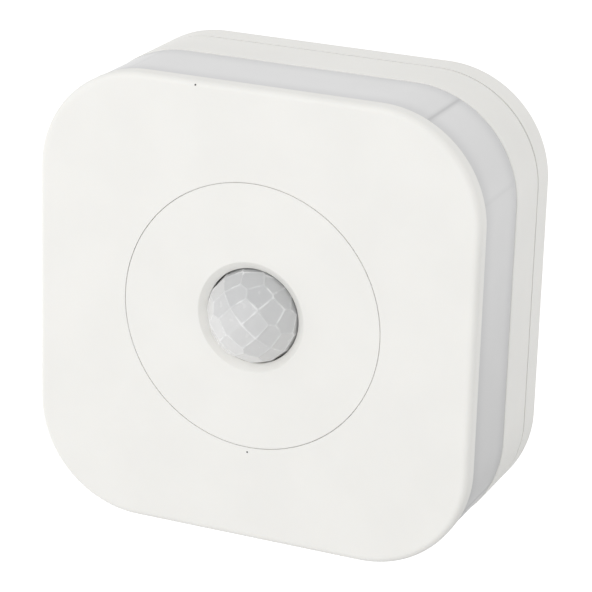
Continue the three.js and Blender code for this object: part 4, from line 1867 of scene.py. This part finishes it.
@dataclass
class BatteryBay:
    """Three cells with their springs.

    Attributes:
        radius: radius of a cell.
        pitch: distance between the lanes.
        axis_y: depth of the cells' axes.
        sleeve: length of a cell's body.
        nub: length and radius of the positive nub.
        bare: how much smaller than the cell its bare ends are, and how deep they reach.
        wire: radius of a spring's wire.
        turns: turns of a spring.
        coil: radius of a spring at the cell and at the wall.
    """

    radius: float = 5.25 * MM
    pitch: float = 11.3 * MM
    axis_y: float = -12.7 * MM
    sleeve: float = 43.5 * MM
    nub: tuple[float, float] = (1.0 * MM, 1.9 * MM)
    bare: tuple[float, float] = (1.1 * MM, 2 * MM)
    wire: float = 0.35 * MM
    turns: float = 4.0
    coil: tuple[float, float] = (2.1 * MM, 3.2 * MM)

    def cell(self, number: int) -> bpy.types.Object:
        """One cell, lying along X in its lane.

        Args:
            number: 1 to 3, from the lowest lane up.

        Returns:
            The cell, with metal ends as its second material.
        """
        low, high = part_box(f"battery_cell_{number}")
        nub_length, nub_radius = self.nub
        mesh = turned(self._profile(nub_length, nub_radius), steps=56)
        length = self.sleeve + nub_length
        middle = Vector(((low.x + high.x) / 2, self.axis_y, (low.z + high.z) / 2))
        sign = 1 if number == 2 else -1
        spin = Matrix.Rotation(sign * QUARTER, 4, "Z")
        along = [(v.co.y + length / 2) / length for v in mesh.vertices]
        metal = [p.index for p in mesh.polygons if self._is_metal(p, length)]
        mesh.transform(Matrix.Translation(middle) @ spin)
        store(mesh, "along", along)
        for index in metal:
            mesh.polygons[index].material_index = 1
        return merged(f"battery_cell_{number}_body", [mesh], 40.0)

    def _profile(self, nub_length: float, nub_radius: float) -> list[tuple[float, float]]:
        """A cell's profile from its flat end to its nub.

        Args:
            nub_length: length of the nub.
            nub_radius: its radius.

        Returns:
            Radius and place along the axis of each point.
        """
        half = (self.sleeve + nub_length) / 2
        shoulder = half - nub_length
        r = self.radius
        return [
            (0.4 * MM, -half),
            (r - 1.5 * MM, -half),
            (r - 1.1 * MM, -half + 0.25 * MM),
            (r - 0.9 * MM, -half + 0.1 * MM),
            (r - 0.4 * MM, -half + 0.12 * MM),
            (r, -half + 0.5 * MM),
            (r, -half + 1 * MM),
            (r, shoulder - 1 * MM),
            (r, shoulder - 0.5 * MM),
            (r - 0.45 * MM, shoulder - 0.05 * MM),
            (r - 1.0 * MM, shoulder - 0.05 * MM),
            (r - 1.2 * MM, shoulder - 0.4 * MM),
            (nub_radius + 0.35 * MM, shoulder - 0.4 * MM),
            (nub_radius, shoulder - 0.1 * MM),
            (nub_radius, half - 0.25 * MM),
            (nub_radius - 0.3 * MM, half),
            (0.3 * MM, half),
        ]

    def _is_metal(self, polygon: bpy.types.MeshPolygon, length: float) -> bool:
        """Whether a face belongs to a bare metal end.

        Args:
            polygon: the face.
            length: the cell's whole length.

        Returns:
            True for a face of either end.
        """
        middle = polygon.center
        margin, depth = self.bare
        reach = math.hypot(middle.x, middle.z)
        return reach < self.radius - margin and abs(middle.y) > length / 2 - depth

    def spring(self, number: int, material: bpy.types.Material) -> bpy.types.Object:
        """One conical contact spring, made with Geometry Nodes from a spiral.

        Args:
            number: 1 to 3.
            material: its metal.

        Returns:
            The spring.
        """
        low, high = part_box(f"battery_spring_{number}")
        towards = -1 if abs(low.x) > abs(high.x) else 1
        tip, base = self.coil
        tree = SpringTree("contact_spring_tree", material)
        piece = tree.make(
            f"battery_spring_{number}_coil",
            Turns=self.turns,
            Height=high.x - low.x - 2 * self.wire,
            Tip=tip,
            Base=base,
            Wire=self.wire,
        )
        start = high.x - self.wire if towards < 0 else low.x + self.wire
        middle = Vector((start, self.axis_y, (low.z + high.z) / 2))
        piece.data.transform(Matrix.Translation(middle) @ Matrix.Rotation(towards * QUARTER, 4, "Y"))
        return piece


@dataclass
class SpringTree:
    """A Geometry Nodes tree that sweeps a wire along a spiral.

    Attributes:
        name: the tree's name.
        material: the material that the tree sets.
    """

    name: str
    material: bpy.types.Material

    def make(self, name: str, **inputs: float) -> bpy.types.Object:
        """Builds the tree, runs it and keeps its result as a plain mesh.

        Args:
            name: the piece's name.
            inputs: Turns, Height, Tip, Base and Wire.

        Returns:
            The piece.
        """
        tree = bpy.data.node_groups.new(self.name, "GeometryNodeTree")
        tree.interface.new_socket("Geometry", in_out="OUTPUT", socket_type="NodeSocketGeometry")
        for label in inputs:
            tree.interface.new_socket(label, in_out="INPUT", socket_type="NodeSocketFloat")
        source = tree.nodes.new("NodeGroupInput")
        spiral = tree.nodes.new("GeometryNodeCurveSpiral")
        spiral.inputs["Resolution"].default_value = 40
        circle = tree.nodes.new("GeometryNodeCurvePrimitiveCircle")
        circle.inputs["Resolution"].default_value = 12
        sweep = tree.nodes.new("GeometryNodeCurveToMesh")
        sweep.inputs["Fill Caps"].default_value = True
        finish = tree.nodes.new("GeometryNodeSetMaterial")
        finish.inputs["Material"].default_value = self.material
        real = tree.nodes.new("GeometryNodeRealizeInstances")
        output = tree.nodes.new("NodeGroupOutput")
        links = (
            (source.outputs["Turns"], spiral.inputs["Rotations"]),
            (source.outputs["Height"], spiral.inputs["Height"]),
            (source.outputs["Tip"], spiral.inputs["Start Radius"]),
            (source.outputs["Base"], spiral.inputs["End Radius"]),
            (source.outputs["Wire"], circle.inputs["Radius"]),
            (spiral.outputs["Curve"], sweep.inputs["Curve"]),
            (circle.outputs["Curve"], sweep.inputs["Profile Curve"]),
            (sweep.outputs["Mesh"], real.inputs["Geometry"]),
            (real.outputs["Geometry"], finish.inputs["Geometry"]),
            (finish.outputs["Geometry"], output.inputs["Geometry"]),
        )
        for start, end in links:
            tree.links.new(start, end)
        piece = bpy.data.objects.new(name, bpy.data.meshes.new(name))
        bpy.context.scene.collection.objects.link(piece)
        modifier = piece.modifiers.new(self.name, "NODES")
        modifier.node_group = tree
        for socket in tree.interface.items_tree:
            if socket.in_out == "INPUT":
                modifier[socket.identifier] = float(inputs[socket.name])
        return evaluated(piece)


@dataclass
class PairingButton:
    """The small white button beside the battery bay.

    Attributes:
        radius: radius of the cap.
        stem: radius of the stem.
        collar_y: depth of the collar's back.
        collar: how far the collar stands out, and its thickness.
    """

    radius: float = 2.4 * MM
    stem: float = 1.3 * MM
    collar_y: float = -8.85 * MM
    collar: tuple[float, float] = (1.1 * MM, 0.9 * MM)

    def build(self) -> bpy.types.Object:
        """Builds the cap with its dished top, collar and stem.

        Returns:
            The button.
        """
        low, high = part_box("pairing_button")
        x, z = (low.x + high.x) / 2, (low.z + high.z) / 2
        reach, thick = self.collar
        profile = [
            (0.1 * MM, high.y - 0.35 * MM),
            (1.2 * MM, high.y - 0.28 * MM),
            (self.radius - 0.55 * MM, high.y - 0.05 * MM),
            (self.radius - 0.3 * MM, high.y),
            (self.radius - 0.08 * MM, high.y - 0.08 * MM),
            (self.radius, high.y - 0.35 * MM),
            (self.radius, self.collar_y),
            (self.radius + reach, self.collar_y),
            (self.radius + reach, self.collar_y - thick),
            (self.stem, self.collar_y - thick),
            (self.stem, low.y),
        ]
        return merged("pairing_button_cap", [turned(profile, x, z, 48)])


@dataclass
class SmallParts:
    """The small repeated parts: the plate's ribs, the bay's cradles, leads, chips and solder joints.

    Attributes:
        wardrobe: the finishes.
        rib: the three sides of a rib of the plate.
        rib_ring: depth and radius of the ring of ribs.
        rib_count: ribs in the ring.
        cradle: the three sides of a rib between the cells.
        cradle_y: depth of its middle.
        board_y: the main board's front.
        controller_at: x and z of the controller chip.
        lead: width, thickness and length of a lead.
        lead_at: distance of the leads from the chip's middle.
        lead_pitch: distance between leads.
        lead_count: leads on a side.
        chip: the three sides of a small chip.
        chip_at: x and z of the first one.
        chip_pitch: distance between them.
        chip_count: small chips in the row.
        joint: radius and height of a solder joint.
        joint_at: x and z of the first one.
        joint_pitch: distance between them.
        joint_count: joints in the row.
    """

    wardrobe: Wardrobe
    rib: Point = (2.6 * MM, 1.4 * MM, 1.0 * MM)
    rib_ring: tuple[float, float] = (-2.92 * MM, 14.5 * MM)
    rib_count: int = 12
    cradle: Point = (30 * MM, 2.95 * MM, 0.5 * MM)
    cradle_y: float = -16.93 * MM
    board_y: float = -24.62 * MM
    controller_at: tuple[float, float] = (16 * MM, 12 * MM)
    lead: Point = (0.3 * MM, 0.25 * MM, 0.8 * MM)
    lead_at: float = 4.95 * MM
    lead_pitch: float = 1.0 * MM
    lead_count: int = 6
    chip: Point = (1.6 * MM, 0.6 * MM, 0.8 * MM)
    chip_at: tuple[float, float] = (-24 * MM, -14 * MM)
    chip_pitch: float = 2.6 * MM
    chip_count: int = 7
    joint: tuple[float, float] = (0.45 * MM, 0.5 * MM)
    joint_at: tuple[float, float] = (-3 * MM, 31.6 * MM)
    joint_pitch: float = 2 * MM
    joint_count: int = 4

    def build(self) -> None:
        """Builds, dresses and settles them all."""
        material = self.wardrobe.materials
        white = Repeat("white_row", Along.LINE, Item.BOX, material[Slot.WHITE])
        spokes = Repeat("white_spokes", Along.RING, Item.BOX, material[Slot.WHITE])
        leads = Repeat("lead_row", Along.LINE, Item.BOX, material[Slot.STEEL])
        chips = Repeat("chip_row", Along.LINE, Item.BOX, material[Slot.BLACK])
        joints = Repeat("joint_row", Along.LINE, Item.ROD, material[Slot.STEEL])
        self._settle("plate_ribs", spokes, Slot.WHITE, Body.PLATE, [self._ribs()])
        self._settle("bay_cradles", white, Slot.WHITE, Body.UNIT, [self._cradles()])
        self._settle("chip_leads", leads, Slot.STEEL, Body.UNIT, self._leads())
        self._settle("small_chips", chips, Slot.BLACK, Body.UNIT, [self._chips()])
        self._settle("solder_joints", joints, Slot.STEEL, Body.UNIT, [self._joints()])

    def _settle(
        self, name: str, tree: Repeat, slot: Slot, body: Body, rows: Sequence[dict[str, Any]]
    ) -> None:
        """Runs a tree once for each row, joins the results, dresses them and sets them on a body.

        Args:
            name: the piece's name.
            tree: the tree.
            slot: the piece's slot.
            body: the body that it moves with.
            rows: the tree's inputs for each row.
        """
        meshes = [taken(tree.make(f"{name}_{number}", **row)) for number, row in enumerate(rows)]
        settle(self.wardrobe.dress(merged(name, meshes), slot), body)

    def _ribs(self) -> dict[str, Any]:
        """Short ribs round the plate's stiffening ring."""
        y, radius = self.rib_ring
        return {"Count": self.rib_count, "Start": (0.0, y, 0.0), "Radius": radius, "Size": self.rib}

    def _cradles(self) -> dict[str, Any]:
        """The thin ribs between the cells.

        Returns:
            The tree's inputs.
        """
        pitch = BatteryBay.pitch
        start = (0.0, self.cradle_y, -pitch / 2)
        return {"Count": 2, "Start": start, "Pitch": (0.0, 0.0, pitch), "Size": self.cradle}

    def _leads(self) -> list[dict[str, Any]]:
        """A row of leads on each side of the controller chip.

        Returns:
            The tree's inputs for each of the four rows.
        """
        x, z = self.controller_at
        width, thick, length = self.lead
        reach = self.lead_at
        first = -self.lead_pitch * (self.lead_count - 1) / 2
        y = self.board_y - thick / 2
        rows = []
        for side in (-1, 1):
            upright = {"Start": (x + first, y, z + side * reach), "Pitch": (self.lead_pitch, 0.0, 0.0)}
            level = {"Start": (x + side * reach, y, z + first), "Pitch": (0.0, 0.0, self.lead_pitch)}
            rows.append({**upright, "Count": self.lead_count, "Size": (width, thick, length)})
            rows.append({**level, "Count": self.lead_count, "Size": (length, thick, width)})
        return rows

    def _chips(self) -> dict[str, Any]:
        """A row of small resistors below the radio.

        Returns:
            The tree's inputs.
        """
        x, z = self.chip_at
        start = (x, self.board_y - self.chip[1] / 2, z)
        pitch = (self.chip_pitch, 0.0, 0.0)
        return {"Count": self.chip_count, "Start": start, "Pitch": pitch, "Size": self.chip}

    def _joints(self) -> dict[str, Any]:
        """The solder joints of the header's pins.

        Returns:
            The tree's inputs.
        """
        x, z = self.joint_at
        start = (x, self.board_y - self.joint[1] / 2, z)
        pitch, size = (self.joint_pitch, 0.0, 0.0), (*self.joint, 0.0)
        return {"Count": self.joint_count, "Start": start, "Pitch": pitch, "Size": size}


# ---------------------------------------------------------------- the studio


@dataclass(frozen=True)
class SoftBox:
    """A square area light.

    Attributes:
        name: the light's name.
        azimuth: direction from the object, in degrees; 0 is in front, 90 to its right.
        elevation: degrees above the horizon.
        distance: metres from the object.
        size: side of the light.
        power: watts.
    """

    name: str
    azimuth: float
    elevation: float
    distance: float
    size: float
    power: float

    def build(self) -> None:
        """Adds the light, turned towards the object."""
        light = bpy.data.lights.new(self.name, "AREA")
        light.energy = self.power
        light.size = self.size
        lamp = bpy.data.objects.new(self.name, light)
        back = heading(self.azimuth, self.elevation)
        lamp.location = back * self.distance
        lamp.rotation_euler = (-back).to_track_quat("-Z", "Y").to_euler()
        bpy.context.scene.collection.objects.link(lamp)


def heading(azimuth: float, elevation: float) -> Vector:
    """The direction from the object to a viewer.

    Args:
        azimuth: degrees; 0 is in front of the object and 90 to its right.
        elevation: degrees above the horizon.

    Returns:
        A unit vector.
    """
    a, e = math.radians(azimuth), math.radians(elevation)
    return Vector((math.sin(a) * math.cos(e), -math.cos(a) * math.cos(e), math.sin(e)))


@dataclass
class Studio:
    """The white room: camera, lights, world and floor.

    Attributes:
        azimuth: the camera's direction, in degrees.
        elevation: its height, in degrees.
        roll: its roll, in degrees.
        distance: its distance from the aim.
        aim: the point that it looks at.
        lens: its focal length in millimetres.
        film: width of its film in millimetres.
        near: where its view starts.
        floor_z: height of the floor.
        floor_half: half the floor's side.
        floor_colour: its colour.
        floor_glow: how brightly it is lit from below.
        world: brightness of the room.
        dim_centre: the middle of the part of the floor that isn't lit from below.
        dim_reach: where the lit part starts and where it is full.
        lights: the lamps.
    """

    azimuth: float = 23.01
    elevation: float = 19.34
    roll: float = 1.76
    distance: float = 568.4 * MM
    aim: Point = (-5.10 * MM, -4.65 * MM, -6.52 * MM)
    lens: float = 172.34
    film: float = 36.0
    near: float = 0.01
    floor_z: float = -0.32
    floor_half: float = 6.0
    floor_colour: Colour = (0.6, 0.6, 0.6)
    floor_glow: float = 0.66
    world: float = 0.855
    dim_centre: Point = (0.58, -0.06, 0.0)
    dim_reach: tuple[float, float] = (0.70, 1.02)
    lights: tuple[SoftBox, ...] = (SoftBox("key", -24.0, 24.0, 1.4, 0.8, 3.1),)

    def build(self) -> None:
        """Builds the studio."""
        self._camera()
        self._world()
        self._floor()
        for light in self.lights:
            light.build()
        bpy.context.scene.view_settings.view_transform = "Standard"

    def _camera(self) -> None:
        """Adds the camera."""
        data = bpy.data.cameras.new("camera")
        data.lens = self.lens
        data.sensor_width = self.film
        data.clip_start = self.near
        camera = bpy.data.objects.new("camera", data)
        back = heading(self.azimuth, self.elevation)
        turn = (-back).to_track_quat("-Z", "Y").to_matrix().to_4x4()
        roll = Matrix.Rotation(math.radians(self.roll), 4, "Z")
        camera.matrix_world = Matrix.Translation(Vector(self.aim) + back * self.distance) @ turn @ roll
        bpy.context.scene.collection.objects.link(camera)
        bpy.context.scene.camera = camera

    def _world(self) -> None:
        """Fills the room with even white light."""
        world = bpy.data.worlds.new("room")
        world.use_nodes = True
        background = world.node_tree.nodes["Background"]
        background.inputs["Color"].default_value = (*FULL_WHITE, 1.0)
        background.inputs["Strength"].default_value = self.world
        bpy.context.scene.world = world

    def _floor(self) -> None:
        """Adds the pale floor."""
        half = self.floor_half
        verts = [(x * half, y * half, self.floor_z) for x, y in ((-1, -1), (1, -1), (1, 1), (-1, 1))]
        mesh = bpy.data.meshes.new("studio_floor")
        mesh.from_pydata(verts, [], [(0, 1, 2, 3)])
        floor = bpy.data.objects.new("studio_floor", mesh)
        bpy.context.scene.collection.objects.link(floor)
        graph = Graph("studio_white")
        ends = {0: graph.place(), 1: self.dim_centre}
        away = graph.node("ShaderNodeVectorMath", {"operation": "SUBTRACT"}, ends)
        reach = graph.value("ShaderNodeVectorMath", {"operation": "LENGTH"}, {0: away.outputs[0]}, "Value")
        glow = graph.mix(reach.rise(*self.dim_reach), FULL_BLACK, FULL_WHITE)
        graph.set(
            Base_Color=self.floor_colour,
            Roughness=0.9,
            Emission_Color=glow,
            Emission_Strength=self.floor_glow,
        )
        mesh.materials.append(graph.material)


# ---------------------------------------------------------------- the whole sensor


def build_case(wardrobe: Wardrobe) -> None:
    """Builds and dresses the case's shells, the band and the lens.

    Args:
        wardrobe: the finishes.
    """
    case = Case()
    cover = FrontCover(case)
    settle(wardrobe.dress(cover.build(), Slot.WHITE), Body.UNIT, "front_cover")
    # black dots of painted shade for the two tiny pits in the face
    settle(wardrobe.dress(cover.pit_shade_dots(), Slot.BLACK), Body.UNIT)
    settle(wardrobe.dress(LensDisc().build(), Slot.WHITE), Body.UNIT, "lens_disc")
    settle(wardrobe.dress(LensDome().build(), Slot.LENS), Body.UNIT, "lens_dome")
    settle(wardrobe.dress(LightBand(case).build(), Slot.DIFFUSER), Body.UNIT, "diffuser_band")
    settle(wardrobe.dress(RearHousing(case).build(), Slot.WHITE), Body.UNIT, "rear_housing")
    settle(wardrobe.dress(WallPlate(case).build(), Slot.WHITE), Body.PLATE, "wall_plate")


def build_inside(wardrobe: Wardrobe) -> None:
    """Builds and dresses the cells, springs and button, and dresses the CAD nodes that stay in view.

    Args:
        wardrobe: the finishes.
    """
    bay = BatteryBay()
    for number in (1, 2, 3):
        cell = wardrobe.dress(bay.cell(number), Slot.SLEEVE, Slot.NICKEL)
        settle(cell, Body.UNIT, f"battery_cell_{number}")
        spring = bay.spring(number, wardrobe.materials[Slot.NICKEL])
        settle(wardrobe.dress(spring, Slot.NICKEL), Body.UNIT, f"battery_spring_{number}")
    SmallParts(wardrobe).build()
    button = wardrobe.dress(PairingButton().build(), Slot.WHITE)
    settle(button, Body.BUTTON, "pairing_button")
    kept = [name for name, node in frame["nodes"].items() if not node.hide_render]
    wardrobe.redress(kept)


def main() -> None:
    logging.basicConfig(level=logging.INFO, format="%(message)s")
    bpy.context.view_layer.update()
    Studio().build()
    wardrobe = Wardrobe()
    build_case(wardrobe)
    build_inside(wardrobe)


if __name__ == "__main__":
    main()
